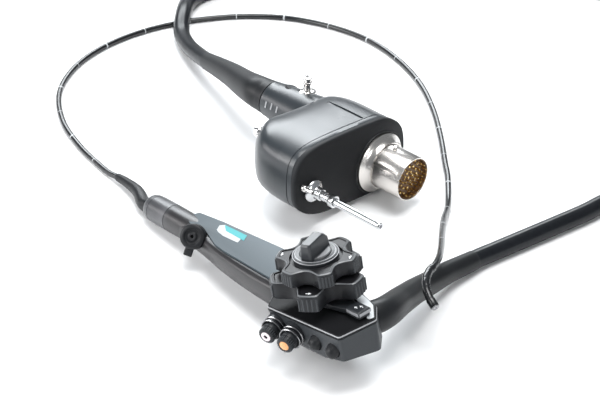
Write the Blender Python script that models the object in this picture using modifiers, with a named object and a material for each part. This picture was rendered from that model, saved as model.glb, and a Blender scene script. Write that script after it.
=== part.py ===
"""Flexible endoscope lying on a table: control body, insertion tube, universal cord and light source connector.

Units are metres, +Z is up and the floor is z = 0. The origin is the middle of the rest pad under the control head.
Each assembly is modelled in its own frame and placed by one matrix:
  body frame       x to the head end, y to the umbilical side, z along the wheel axle, origin on the head cover
  connector frame  x along the video plug, y to the right seen from behind, z up, origin on the face plate
  tip frames       x along the bending section, one frame for each link
"""

import math

import bmesh
import bpy
from mathutils import Matrix, Vector

# Clearances
GAP = 0.0003
RUN_GAP = 0.0004

# Placement of the control body
BODY_HEADING = -52.8
BODY_PITCH = 6.5
BODY_ROLL = 5.0
BODY_PLACE = (0.0, -0.014, 0.041)

# Placement of the connector
PLUG_HEADING = -43.6
PLUG_PITCH = 2.5
PLUG_ROLL = 2.8
PLUG_PLACE = (0.0413, 0.1835, 0.0262)

# Grip
GRIP_AXIS_Y = 0.0042
GRIP_FRONT_X = -0.0345
GRIP_TAIL_X = -0.1760
GRIP_TAIL_RADIUS = 0.0088
PLATE_THICKNESS = 0.0015
TAIL_RING_LENGTH = 0.0270
TAIL_RING_RADIUS = 0.0085
CHASSIS_FRONT_X = -0.0380
CHASSIS_TAIL_X = -0.1400
CHASSIS_HALF_WIDTH = 0.0045
CHASSIS_LEVEL = -0.0125
CHASSIS_THICKNESS = 0.0020

# Head
HEAD_SIDE_DEPTH = 0.0200
COVER_THICKNESS = 0.0025
COVER_RIM = 0.0012
DRUM_ROOM_RADIUS = 0.0125
DRUM_ROOM_DEPTH = 0.0230
WIRE_PASSAGE_RADIUS = 0.0045
WIRE_PASSAGE_LEVEL = -0.0135
REST_PAD_RADIUS = 0.0110

# Wheel stack along the body's z axis
AXLE_RADIUS = 0.0022
AXLE_TOP = 0.0326
TUBE_WALL = 0.0013
DRUM_RADIUS = 0.0100
DRUM_THICKNESS = 0.0060
UD_WHEEL_RADIUS = 0.0310
UD_WHEEL_VALLEY = 0.0210
UD_WHEEL_LOBES = 5
UD_WHEEL_PHASE = -51.5
UD_WHEEL_BOTTOM = 0.0078
UD_WHEEL_THICKNESS = 0.0120
LR_WHEEL_RADIUS = 0.0262
LR_WHEEL_VALLEY = 0.0200
LR_WHEEL_LOBES = 6
LR_WHEEL_PHASE = -85.0
WHEEL_SPACING = 0.0012
LR_WHEEL_THICKNESS = 0.0105
WHEEL_RECESS_RADIUS = 0.0170
WHEEL_RECESS_DEPTH = 0.0025
KNOB_RADIUS = 0.0145
KNOB_DISC_HEIGHT = 0.0050
FIN_HEIGHT = 0.0100
FIN_LENGTH = 0.0230
FIN_WIDTH = 0.0085
FIN_TURN = 112.0
LEVER_TURN = 3.0
LEVER_REACH = 0.0410
LEVER_THICKNESS = 0.0050
LEVER_LIFT = 0.0012

# Valves and switches on the head's side
SIDE_NORMAL = (0.34, -0.90, -0.10)
SUCTION_FOOT = (-0.0135, -0.0264, -0.0105)
AIR_WATER_FOOT = (0.0032, -0.0248, -0.0112)
VALVE_RADIUS = 0.0076
VALVE_BORE = 0.0032
VALVE_ROOT_RADIUS = 0.0040
VALVE_ROOT_DEPTH = 0.0035
VALVE_LENGTH = 0.0092
BUTTON_RADIUS = 0.0058
BUTTON_LENGTH = 0.0088
BUTTON_TRAVEL = 0.0045
BUTTON_STEM = 0.0018
SWITCH_RADIUS = 0.0046
SWITCH_TRAVEL = 0.0010
SWITCH_1_FOOT = (0.0225, -0.0246, -0.0120)
SWITCH_2_FOOT = (0.0365, -0.0224, -0.0135)
SWITCH_NORMAL = (0.12, -0.93, -0.34)

# Instrument channel port
PORT_NORMAL = (0.60, -0.62, 0.50)
PORT_SEAT = (-0.1368, -0.0040, -0.0046)
PORT_RADIUS = 0.0055
PORT_LENGTH = 0.0080
CAP_RADIUS = 0.0088
CAP_LENGTH = 0.0075
CAP_HOLE = 0.0012

# Insertion tube
TUBE_RADIUS = 0.0022
INSERTION_BOOT_RADIUS = 0.0056

# Universal cord
CORD_RADIUS = 0.0065
CORD_BOOT_RADIUS = 0.0108
COIL_RADIUS = 0.0720
COIL_CENTRE = (0.3050, 0.1500)

# Bending section: its first hinge, the way it points there, the normal of its main bend, and its links
CHAIN_BASE = (0.0690, 0.0160, 0.0420)
CHAIN_AHEAD = (-0.50, -0.86, 0.03)
CHAIN_NORMAL = (0.40, -0.25, 0.861)
CHAIN_BASE_LENGTH = 0.0050
REST_BEND = 13.0
UP_OPENING = 22.0
DOWN_OPENING = 9.5
SIDE_OPENING = 11.0
LINK_COUNT = 8
LINK_PITCH = 0.0033
LINK_RADIUS = 0.0025
LINK_GAP = 0.0003
TIP_LENGTH = 0.0070
TIP_RADIUS = 0.0028

# Connector
FACE_THICKNESS = 0.0040
SHELL_LENGTH = 0.0520
SHELL_WALL = 0.0025
NECK_LENGTH = 0.0480
NECK_OFFSET = (-0.001, 0.0075)
NECK_BASE_RADIUS = 0.0195
NECK_END_RADIUS = 0.0138
PLUG_SLEEVE_RADIUS = 0.0165
PLUG_SLEEVE_WALL = 0.0012
PLUG_LENGTH = 0.0330
PLUG_BASE_RADIUS = 0.0225
PLUG_BASE_LENGTH = 0.0080
PIN_DEPTH = 0.0040
PIN_RADIUS = 0.0005
KEY_TURN = 150.0
GUIDE_SEAT = (-0.0692, 0.0030)
GUIDE_BASE_RADIUS = 0.0084
GUIDE_ROD_RADIUS = 0.0027
GUIDE_ROD_LENGTH = 0.0640
AIR_PIPE_SEAT = (-0.0793, 0.0088)
AIR_PIPE_RADIUS = 0.0016
AIR_PIPE_LENGTH = 0.0100
PORT_FLANGE_RADIUS = 0.0064


def clear_scene():
    for obj in list(bpy.data.objects):
        bpy.data.objects.remove(obj, do_unlink=True)


def new_collection(name):
    collection = bpy.data.collections.new(name)
    bpy.context.scene.collection.children.link(collection)
    return collection


def finish(name, colour, roughness, metallic=0.0):
    material = bpy.data.materials.new(name)
    material.use_nodes = True
    shader = material.node_tree.nodes["Principled BSDF"]
    shader.inputs["Base Color"].default_value = (*colour, 1.0)
    shader.inputs["Roughness"].default_value = roughness
    shader.inputs["Metallic"].default_value = metallic
    return material


clear_scene()
PARTS = new_collection("flexible_endoscope")
CUTTERS = new_collection("cutters")
CUTTERS.hide_render = True

BLACK_PLASTIC = finish("black_plastic", (0.020, 0.021, 0.024), 0.35)
GREY_PLASTIC = finish("grey_plastic", (0.16, 0.20, 0.23), 0.40)
PALE_PLASTIC = finish("pale_plastic", (0.45, 0.48, 0.50), 0.40)
BLACK_RUBBER = finish("black_rubber", (0.025, 0.025, 0.027), 0.60)
TUBE_SKIN = finish("tube_skin", (0.015, 0.016, 0.018), 0.30)
CHROME = finish("chrome", (0.75, 0.75, 0.76), 0.15, 1.0)
STEEL = finish("steel", (0.55, 0.55, 0.56), 0.30, 1.0)
GOLD = finish("gold", (0.85, 0.62, 0.25), 0.25, 1.0)
BROWN_INSULATOR = finish("brown_insulator", (0.16, 0.09, 0.04), 0.50)
GLASS = finish("lens_glass", (0.06, 0.08, 0.12), 0.05)
SUCTION_MARK = finish("suction_mark", (0.80, 0.72, 0.72), 0.40)
AIR_WATER_MARK = finish("air_water_mark", (0.85, 0.45, 0.20), 0.40)
GREEN_BOARD = finish("green_board", (0.05, 0.20, 0.10), 0.50)


def frame(place, heading, pitch, roll):
    """A frame at place: turned to heading, nose raised by pitch, then rolled about its own x axis."""
    turn = Matrix.Rotation(math.radians(heading), 4, "Z")
    rise = Matrix.Rotation(math.radians(-pitch), 4, "Y")
    lean = Matrix.Rotation(math.radians(roll), 4, "X")
    return Matrix.Translation(place) @ turn @ rise @ lean


BODY = frame(BODY_PLACE, BODY_HEADING, BODY_PITCH, BODY_ROLL)
PLUG = frame(PLUG_PLACE, PLUG_HEADING, -PLUG_PITCH, -PLUG_ROLL)


def along(base, place, direction, turn=0.0):
    """A frame inside base, at place, whose z axis points along direction."""
    spin = Vector(direction).to_track_quat("Z", "Y").to_matrix().to_4x4()
    return base @ Matrix.Translation(place) @ spin @ Matrix.Rotation(math.radians(turn), 4, "Z")


def add_part(name, mesh, material, place, smooth=35.0):
    obj = bpy.data.objects.new(name, mesh)
    PARTS.objects.link(obj)
    mesh.materials.clear()
    mesh.materials.append(material)
    mesh.shade_smooth()
    mesh.set_sharp_from_angle(angle=math.radians(smooth))
    obj.matrix_world = place
    return obj


def add_cutter(name, mesh, place):
    obj = bpy.data.objects.new(name, mesh)
    CUTTERS.objects.link(obj)
    obj.matrix_world = place
    obj.hide_render = True
    obj.display_type = "WIRE"
    return obj


def cut(obj, *cutters):
    for cutter in cutters:
        modifier = obj.modifiers.new("cut_" + cutter.name, "BOOLEAN")
        modifier.operation = "DIFFERENCE"
        modifier.solver = "EXACT"
        modifier.object = cutter


def join(obj, *others):
    for other in others:
        modifier = obj.modifiers.new("join_" + other.name, "BOOLEAN")
        modifier.operation = "UNION"
        modifier.solver = "EXACT"
        modifier.object = other


def mesh_from(name, build):
    shape = bmesh.new()
    build(shape)
    bmesh.ops.recalc_face_normals(shape, faces=shape.faces)
    mesh = bpy.data.meshes.new(name)
    shape.to_mesh(mesh)
    shape.free()
    return mesh


def prism_mesh(name, outline, low, high, inset=0.0):
    """An outline of (x, y) points extruded from low to high; inset draws the top outline in by that distance."""
    centre = sum((Vector(p) for p in outline), Vector((0, 0))) / len(outline)

    def drawn_in(point):
        out = Vector(point) - centre
        return centre + out * (1 - inset / out.length)

    def build(shape):
        lower = [shape.verts.new((x, y, low)) for x, y in outline]
        upper = [shape.verts.new((*drawn_in(point), high)) for point in outline]
        shape.faces.new(lower)
        shape.faces.new(upper)
        for i in range(len(outline)):
            j = (i + 1) % len(outline)
            shape.faces.new((lower[i], lower[j], upper[j], upper[i]))

    return mesh_from(name, build)


def loft_mesh(name, rings):
    """A closed solid through rings of points; every ring has the same number of points."""

    def build(shape):
        rows = [[shape.verts.new(point) for point in ring] for ring in rings]
        count = len(rows[0])
        for row, following in zip(rows, rows[1:]):
            for i in range(count):
                j = (i + 1) % count
                shape.faces.new((row[i], row[j], following[j], following[i]))
        shape.faces.new(rows[0])
        shape.faces.new(rows[-1])

    return mesh_from(name, build)


def cylinder_mesh(name, radius, low, high, sides=32, top_radius=None):
    def build(shape):
        bmesh.ops.create_cone(
            shape,
            cap_ends=True,
            segments=sides,
            radius1=radius,
            radius2=radius if top_radius is None else top_radius,
            depth=high - low,
            matrix=Matrix.Translation((0, 0, (high + low) / 2)),
        )

    return mesh_from(name, build)


def box_mesh(name, low, high):
    size = Vector(high) - Vector(low)
    middle = (Vector(high) + Vector(low)) / 2

    def build(shape):
        bmesh.ops.create_cube(shape, size=1.0, matrix=Matrix.Translation(middle) @ Matrix.Diagonal((*size, 1)))

    return mesh_from(name, build)


def turned(name, profile, material, place, steps=32):
    """A profile of (radius, z) points, outside from top to bottom, turned about z. An open one ends on the axis."""
    mesh = bpy.data.meshes.new(name)
    closed = profile[0][0] > 0
    count = len(profile)
    edges = [(i, (i + 1) % count) for i in range(count if closed else count - 1)]
    mesh.from_pydata([(radius, 0, z) for radius, z in profile], edges, [])
    obj = bpy.data.objects.new(name, mesh)
    PARTS.objects.link(obj)
    mesh.materials.append(material)
    obj.matrix_world = place
    screw = obj.modifiers.new("turn", "SCREW")
    screw.steps = steps
    screw.render_steps = steps
    screw.use_merge_vertices = True
    screw.merge_threshold = 0.00001
    screw.use_smooth_shade = True
    return obj


def sampled(points, spacing):
    """Evenly spaced points along a smooth curve through the given points."""
    points = [Vector(p) for p in points]
    ends = [2 * points[0] - points[1], *points, 2 * points[-1] - points[-2]]
    fine = []
    for a, b, c, d in zip(ends, ends[1:], ends[2:], ends[3:]):
        for step in range(24):
            t = step / 24
            fine.append(
                0.5 * (2 * b + (c - a) * t + (2 * a - 5 * b + 4 * c - d) * t * t + (3 * b - a - 3 * c + d) * t**3)
            )
    fine.append(points[-1])
    length = sum((b - a).length for a, b in zip(fine, fine[1:]))
    count = max(2, round(length / spacing))
    found, walked, target = [fine[0]], 0.0, length / count
    for a, b in zip(fine, fine[1:]):
        stretch = (b - a).length
        while len(found) < count and walked + stretch >= target * len(found):
            found.append(a.lerp(b, (target * len(found) - walked) / stretch))
        walked += stretch
    return [*found, fine[-1]]


def cord(name, points, radius, material, sides=2):
    curve = bpy.data.curves.new(name, "CURVE")
    curve.dimensions = "3D"
    curve.bevel_depth = radius
    curve.bevel_resolution = sides
    curve.use_fill_caps = True
    spline = curve.splines.new("POLY")
    spline.points.add(len(points) - 1)
    for spot, point in zip(spline.points, points):
        spot.co = (*point, 1.0)
    curve.materials.append(material)
    obj = bpy.data.objects.new(name, curve)
    PARTS.objects.link(obj)
    return obj


def tapered_mesh(name, points, radii, sides=20):
    """A round solid along points, with its radius at each of them."""
    points = [Vector(p) for p in points]
    rings = []
    side = None
    for i, point in enumerate(points):
        ahead = (points[min(i + 1, len(points) - 1)] - points[max(i - 1, 0)]).normalized()
        side = ahead.orthogonal().normalized() if side is None else (side - ahead * side.dot(ahead)).normalized()
        up = ahead.cross(side)
        angles = [2 * math.pi * k / sides for k in range(sides)]
        rings.append([point + radii[i] * (side * math.cos(a) + up * math.sin(a)) for a in angles])
    return loft_mesh(name, rings)


def lobed_outline(radius, valley, lobes, phase, lobe_share=0.31, steps=10):
    """The outline of a finger wheel: flat-topped lobes with hollows scooped between them."""
    outline = []
    pitch = 2 * math.pi / lobes
    for lobe in range(lobes):
        for step in range(steps):
            turn = step / steps - 0.5
            reach = abs(turn) * 2
            if reach < lobe_share:
                r = radius
            else:
                t = (reach - lobe_share) / (1 - lobe_share)
                r = valley + (radius - valley) * (1 - math.sin(t * math.pi / 2)) ** 1.3
            angle = math.radians(phase) + (lobe + turn) * pitch
            outline.append((r * math.cos(angle), r * math.sin(angle)))
    return outline


def rounded_outline(corners, steps=4):
    """An outline from (x, y, radius) corners, each rounded by its own radius."""
    outline = []
    count = len(corners)
    for i, (x, y, radius) in enumerate(corners):
        corner = Vector((x, y))
        back = (Vector(corners[i - 1][:2]) - corner).normalized()
        ahead = (Vector(corners[(i + 1) % count][:2]) - corner).normalized()
        half = back.angle(ahead) / 2
        if radius <= 0 or half > math.radians(88):
            outline.append(tuple(corner))
            continue
        centre = corner + (back + ahead).normalized() * radius / math.sin(half)
        start = corner + back * radius / math.tan(half)
        end = corner + ahead * radius / math.tan(half)
        first = math.atan2(*(start - centre).yx)
        sweep = math.remainder(math.atan2(*(end - centre).yx) - first, 2 * math.pi)
        for step in range(steps + 1):
            angle = first + sweep * step / steps
            outline.append((centre.x + radius * math.cos(angle), centre.y + radius * math.sin(angle)))
    return outline


def hinge(name, place):
    """An empty at a joint; its z axis is the joint's axis."""
    empty = bpy.data.objects.new(name, None)
    empty.empty_display_size = 0.01
    empty.matrix_world = place
    PARTS.objects.link(empty)
    return empty


# Head housing, with a room for the two drums and a passage to the grip
HEAD_REAR_X = GRIP_FRONT_X + GAP
HEAD_OUTLINE = [
    (-0.0200, -0.0295), (0.0300, -0.0237), (0.0445, -0.0220), (0.0465, 0.0065),
    (0.0345, 0.0165), (0.0155, 0.0205), (HEAD_REAR_X, 0.0210), (HEAD_REAR_X, -0.0110),
]
HEAD_LOW_OUTLINE = [
    (-0.0180, -0.0260), (0.0300, -0.0240), (0.0430, -0.0195), (0.0500, 0.0040),
    (0.0380, 0.0150), (0.0160, 0.0190), (HEAD_REAR_X, 0.0195), (HEAD_REAR_X, -0.0095),
]


def grown(outline, distance):
    """An outline of (x, y) points moved away from the wheels' axis by distance."""
    return [tuple(Vector(point) * (1 + distance / Vector(point).length)) for point in outline]


def head_levels(top, distance=0.0):
    """The housing's outlines from top down to the rest pad, moved outwards by distance."""
    upper = [Vector((x, y, top)) for x, y in grown(HEAD_OUTLINE, distance)]
    lower = [Vector((x, y, -HEAD_SIDE_DEPTH)) for x, y in grown(HEAD_LOW_OUTLINE, distance)]
    pad = []
    for point in lower:
        out = (BODY @ point).xy.normalized() * (REST_PAD_RADIUS + distance)
        pad.append(BODY.inverted() @ Vector((*out, 0)))
    belly = [point.lerp(rest, 0.42) - Vector((0, 0, 0.0030)) for point, rest in zip(lower, pad)]
    return [upper, lower, belly, pad]


def head_housing():
    levels = head_levels(-COVER_THICKNESS - GAP)
    housing = add_part("head_housing", loft_mesh("head_housing", levels), BLACK_PLASTIC, BODY)
    room = cylinder_mesh("drum_room", DRUM_ROOM_RADIUS, -DRUM_ROOM_DEPTH - COVER_THICKNESS, 0.01, 40)
    cut(housing, add_cutter("drum_room", room, BODY))
    passage = cylinder_mesh("wire_passage", WIRE_PASSAGE_RADIUS, 0.0, 0.05, 20)
    start = (0.0, GRIP_AXIS_Y, WIRE_PASSAGE_LEVEL)
    cut(housing, add_cutter("wire_passage", passage, along(BODY, start, (-1, 0, 0))))
    for name, foot in (("suction", SUCTION_FOOT), ("air_water", AIR_WATER_FOOT)):
        seat = along(BODY, foot, SIDE_NORMAL)
        face = cylinder_mesh(name + "_face", VALVE_RADIUS + GAP, 0.0, 0.03, 32)
        root = cylinder_mesh(name + "_root", VALVE_ROOT_RADIUS + GAP, -VALVE_ROOT_DEPTH - GAP, 0.01, 24)
        cut(housing, add_cutter(name + "_face", face, seat), add_cutter(name + "_root", root, seat))
    for name, foot in (("switch_1", SWITCH_1_FOOT), ("switch_2", SWITCH_2_FOOT)):
        bore = cylinder_mesh(name + "_bore", SWITCH_RADIUS + RUN_GAP, -0.0042, 0.02, 24)
        cut(housing, add_cutter(name + "_bore", bore, along(BODY, foot, SWITCH_NORMAL)))
    return housing


head_housing()

# Cover plate and its pale trim
cover_low = [(x, y, -COVER_THICKNESS) for x, y in HEAD_OUTLINE]
cover_edge = [(x, y, -COVER_RIM) for x, y in HEAD_OUTLINE]
cover_top = [(x * 0.975, y * 0.965, 0.0) for x, y in HEAD_OUTLINE]
cover = add_part("head_cover", loft_mesh("head_cover", [cover_low, cover_edge, cover_top]), BLACK_PLASTIC, BODY)
UD_TUBE_BORE = AXLE_RADIUS + 2 * RUN_GAP + TUBE_WALL
UD_TUBE_RADIUS = UD_TUBE_BORE + TUBE_WALL
cover_hole = cylinder_mesh("cover_hole", UD_TUBE_RADIUS + RUN_GAP, -0.01, 0.01, 32)
cut(cover, add_cutter("cover_hole", cover_hole, BODY))
TRIM_OUTLINE = [
    (0.0140, 0.0188), (0.0260, 0.0168), (0.0330, 0.0148), (0.0446, 0.0062), (0.0432, 0.0016), (0.0396, 0.0042),
    (0.0300, 0.0090), (0.0224, 0.0114), (0.0140, 0.0130),
]
trim = prism_mesh("head_trim", TRIM_OUTLINE, GAP, 0.0009)
add_part("head_trim", trim, PALE_PLASTIC, BODY)

# Grip: a hollow shell, the grey plate along its top, the inner frame and the end ring
GRIP_SECTIONS = [
    (GRIP_FRONT_X, -0.0110, 0.0212, 0.0255, 0.0),
    (-0.0450, -0.0128, 0.0213, 0.0250, 0.0),
    (-0.0700, -0.0128, 0.0213, 0.0238, 0.0),
    (-0.1000, -0.0110, 0.0190, 0.0222, 0.0),
    (-0.1310, -0.0070, 0.0166, 0.0202, 0.0),
    (-0.1560, -0.0054, 0.0146, 0.0186, 0.35),
    (GRIP_TAIL_X, GRIP_AXIS_Y - GRIP_TAIL_RADIUS, GRIP_AXIS_Y + GRIP_TAIL_RADIUS, 0.0186, 1.0),
]
GRIP_TOP = -PLATE_THICKNESS - GAP
SECTION_SHAPE = [
    (0.13, 0.00), (0.99, 0.00), (1.00, 0.05), (1.00, 0.32), (0.95, 0.60), (0.84, 0.83), (0.66, 0.97),
    (0.42, 1.00), (0.22, 0.93), (0.07, 0.76), (0.00, 0.50), (0.00, 0.26), (0.04, 0.09),
]
ROUND_TURNS = [118, 62, 40, 14, -14, -42, -68, -94, -120, -148, -176, 158, 138]


def grip_rings(shrink):
    """Sections of the grip from the head to the tail, each drawn in by shrink."""
    rings = []
    for x, left, right, depth, roundness in GRIP_SECTIONS:
        width, height = right - left - 2 * shrink, depth + GRIP_TOP - 2 * shrink
        middle, level = (left + right) / 2, GRIP_TOP - shrink - height / 2
        ring = []
        for (a, b), turn in zip(SECTION_SHAPE, ROUND_TURNS):
            box = Vector((left + shrink + a * width, GRIP_TOP - shrink - b * height))
            angle = math.radians(turn)
            disc = Vector((middle + width / 2 * math.cos(angle), level + height / 2 * math.sin(angle)))
            ring.append((x, *box.lerp(disc, roundness)))
        rings.append(ring)
    return rings


grip = add_part("grip_shell", loft_mesh("grip_shell", grip_rings(0.0)), BLACK_PLASTIC, BODY)
hollow_rings = grip_rings(0.0024)[:-1]
hollow_rings[0] = [(x + 0.005, y, z) for x, y, z in hollow_rings[0]]
cut(grip, add_cutter("grip_hollow", loft_mesh("grip_hollow", hollow_rings), BODY))
PLATE_CORNERS = [
    (-0.0375, -0.0074, 0.0006), (-0.0980, -0.0068, 0.004), (-0.1110, -0.0056, 0.006), (-0.1300, 0.0006, 0.010),
    (-0.1500, 0.0000, 0.006), (-0.1570, 0.0060, 0.005), (-0.1552, 0.0128, 0.002), (-0.1310, 0.0160, 0.010),
    (-0.1000, 0.0184, 0.006), (-0.0710, 0.0207, 0.004), (-0.0375, 0.0207, 0.0006),
]
plate = prism_mesh("grip_top_plate", rounded_outline(PLATE_CORNERS), -PLATE_THICKNESS, 0.0)
plate = add_part("grip_top_plate", plate, GREY_PLASTIC, BODY)
bar_low = (CHASSIS_TAIL_X, GRIP_AXIS_Y - CHASSIS_HALF_WIDTH, CHASSIS_LEVEL)
bar_high = (CHASSIS_FRONT_X, GRIP_AXIS_Y + CHASSIS_HALF_WIDTH, CHASSIS_LEVEL + CHASSIS_THICKNESS)
frame_bar = box_mesh("chassis_plate", bar_low, bar_high)
add_part("chassis_plate", frame_bar, STEEL, BODY)
TAIL_CENTRE = (GRIP_TAIL_X - GAP, GRIP_AXIS_Y, GRIP_TOP - 0.0084)
tail_place = along(BODY, TAIL_CENTRE, (-1, 0, 0))
ring_profile = [
    (0.0, TAIL_RING_LENGTH), (TAIL_RING_RADIUS - 0.0016, TAIL_RING_LENGTH),
    (TAIL_RING_RADIUS - 0.0004, TAIL_RING_LENGTH - 0.0010), (TAIL_RING_RADIUS, 0.0150),
    (TAIL_RING_RADIUS - 0.0007, 0.0145), (TAIL_RING_RADIUS - 0.0007, 0.0105),
    (TAIL_RING_RADIUS, 0.0100), (TAIL_RING_RADIUS, 0.0), (0.0, 0.0),
]
turned("grip_end_ring", ring_profile, PALE_PLASTIC, tail_place)

# Axle, drums and finger wheels on one axis
ROOM_FLOOR = -DRUM_ROOM_DEPTH - COVER_THICKNESS
axle_foot = ROOM_FLOOR + GAP
axle_profile = [
    (0.0, AXLE_TOP), (AXLE_RADIUS - 0.0004, AXLE_TOP), (AXLE_RADIUS, AXLE_TOP - 0.0004),
    (AXLE_RADIUS, axle_foot + 0.0018), (0.0075, axle_foot + 0.0018), (0.0075, axle_foot), (0.0, axle_foot),
]
turned("wheel_axle", axle_profile, STEEL, BODY, 24)
LR_TUBE_BORE = AXLE_RADIUS + RUN_GAP
LR_TUBE_RADIUS = LR_TUBE_BORE + TUBE_WALL
LR_WHEEL_BOTTOM = UD_WHEEL_BOTTOM + UD_WHEEL_THICKNESS + WHEEL_SPACING
LR_DRUM_BOTTOM = axle_foot + 0.0018 + RUN_GAP
UD_DRUM_BOTTOM = LR_DRUM_BOTTOM + DRUM_THICKNESS + RUN_GAP


def drum(name, bore, tube_radius, bottom, top, joint):
    """A wire drum with its tube: an axle-high ring, grooved for the pull wire."""
    upper = bottom + DRUM_THICKNESS
    groove = DRUM_RADIUS - 0.0012
    profile = [
        (bore, top), (tube_radius, top), (tube_radius, upper), (DRUM_RADIUS, upper), (DRUM_RADIUS, upper - 0.0016),
        (groove, upper - 0.0022), (groove, bottom + 0.0022), (DRUM_RADIUS, bottom + 0.0016), (DRUM_RADIUS, bottom),
        (bore, bottom),
    ]
    piece = turned(name, profile, STEEL, BODY)
    piece.parent = joint
    piece.matrix_parent_inverse = joint.matrix_world.inverted()


def wheel(name, outline, bottom, thickness, bore, joint, recess):
    """A finger wheel with rounded edges, a bore for its tube and a round recess in its top."""
    edge = 0.0012
    levels = [(bottom, edge), (bottom + edge, 0.0), (bottom + thickness - edge, 0.0), (bottom + thickness, edge)]
    rings = []
    for z, draw in levels:
        rings.append([Vector((x, y, z)) - Vector((x, y, 0)).normalized() * draw for x, y in outline])
    piece = add_part(name, loft_mesh(name, rings), BLACK_PLASTIC, BODY)
    hole = cylinder_mesh(name + "_bore", bore, bottom - 0.01, bottom + thickness + 0.01, 32)
    cut(piece, add_cutter(name + "_bore", hole, BODY))
    if recess:
        floor = bottom + thickness - WHEEL_RECESS_DEPTH
        dish = cylinder_mesh(name + "_dish", WHEEL_RECESS_RADIUS, floor, floor + 0.02, 48)
        cut(piece, add_cutter(name + "_dish", dish, BODY))
    piece.parent = joint
    piece.matrix_parent_inverse = joint.matrix_world.inverted()


ud_axis = hinge("ud_axis", BODY)
lr_axis = hinge("lr_axis", BODY)
drum("lr_drum", LR_TUBE_BORE, LR_TUBE_RADIUS, LR_DRUM_BOTTOM, LR_WHEEL_BOTTOM + 0.0070, lr_axis)
drum("ud_drum", UD_TUBE_BORE, UD_TUBE_RADIUS, UD_DRUM_BOTTOM, UD_WHEEL_BOTTOM + 0.0090, ud_axis)
ud_outline = lobed_outline(UD_WHEEL_RADIUS, UD_WHEEL_VALLEY, UD_WHEEL_LOBES, UD_WHEEL_PHASE)
lr_outline = lobed_outline(LR_WHEEL_RADIUS, LR_WHEEL_VALLEY, LR_WHEEL_LOBES, LR_WHEEL_PHASE)
wheel("ud_wheel", ud_outline, UD_WHEEL_BOTTOM, UD_WHEEL_THICKNESS, UD_TUBE_RADIUS + GAP, ud_axis, False)
wheel("lr_wheel", lr_outline, LR_WHEEL_BOTTOM, LR_WHEEL_THICKNESS, LR_TUBE_RADIUS + GAP, lr_axis, True)

# Brake knob on top and brake lever under the lower wheel
KNOB_BOTTOM = LR_WHEEL_BOTTOM + LR_WHEEL_THICKNESS - WHEEL_RECESS_DEPTH + RUN_GAP
knob_top = KNOB_BOTTOM + KNOB_DISC_HEIGHT
knob_profile = [
    (0.0, knob_top), (KNOB_RADIUS - 0.0020, knob_top), (KNOB_RADIUS, knob_top - 0.0015), (KNOB_RADIUS, KNOB_BOTTOM),
    (LR_TUBE_BORE, KNOB_BOTTOM), (LR_TUBE_BORE, AXLE_TOP + RUN_GAP), (0.0, AXLE_TOP + RUN_GAP),
]
knob = turned("lr_brake_knob", knob_profile, BLACK_PLASTIC, BODY, 40)
fin_rings = []
for z, long, wide in (
    (knob_top - 0.0012, 1.00, 1.00), (knob_top + 0.5 * FIN_HEIGHT, 1.00, 0.94),
    (knob_top + 0.9 * FIN_HEIGHT, 0.97, 0.85), (knob_top + FIN_HEIGHT, 0.90, 0.55),
):
    a, b = FIN_LENGTH * long / 2, FIN_WIDTH * wide / 2
    r = min(b * 0.96, 0.0030)
    corners = [(-a, -b, r), (a, -b, r), (a, b, r), (-a, b, r)]
    fin_rings.append([(x, y, z) for x, y in rounded_outline(corners)])
fin_place = BODY @ Matrix.Rotation(math.radians(FIN_TURN), 4, "Z")
join(knob, add_cutter("knob_fin", loft_mesh("knob_fin", fin_rings), fin_place))

lever_ring = UD_TUBE_RADIUS + RUN_GAP
lever_outline = rounded_outline([
    (-0.0105, -0.0060, 0.005), (0.0060, -0.0100, 0.004), (0.0280, -0.0046, 0.003), (LEVER_REACH, -0.0046, 0.002),
    (LEVER_REACH, 0.0048, 0.002), (0.0280, 0.0048, 0.003), (0.0060, 0.0100, 0.004), (-0.0105, 0.0060, 0.005),
])
lever_mesh = prism_mesh("ud_brake_lever", lever_outline, LEVER_LIFT, LEVER_LIFT + LEVER_THICKNESS)
lever_place = BODY @ Matrix.Rotation(math.radians(LEVER_TURN), 4, "Z")
lever = add_part("ud_brake_lever", lever_mesh, BLACK_PLASTIC, lever_place)
lever_hole = cylinder_mesh("lever_hole", lever_ring, -0.01, 0.02, 32)
cut(lever, add_cutter("lever_hole", lever_hole, BODY))


# Valves: a cylinder in the housing, a sprung button in it
def helix(radius, low, high, turns, steps):
    points = []
    for i in range(turns * steps + 1):
        angle = 2 * math.pi * i / steps
        z = low + (high - low) * i / (turns * steps)
        points.append((radius * math.cos(angle), radius * math.sin(angle), z))
    return points


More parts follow.
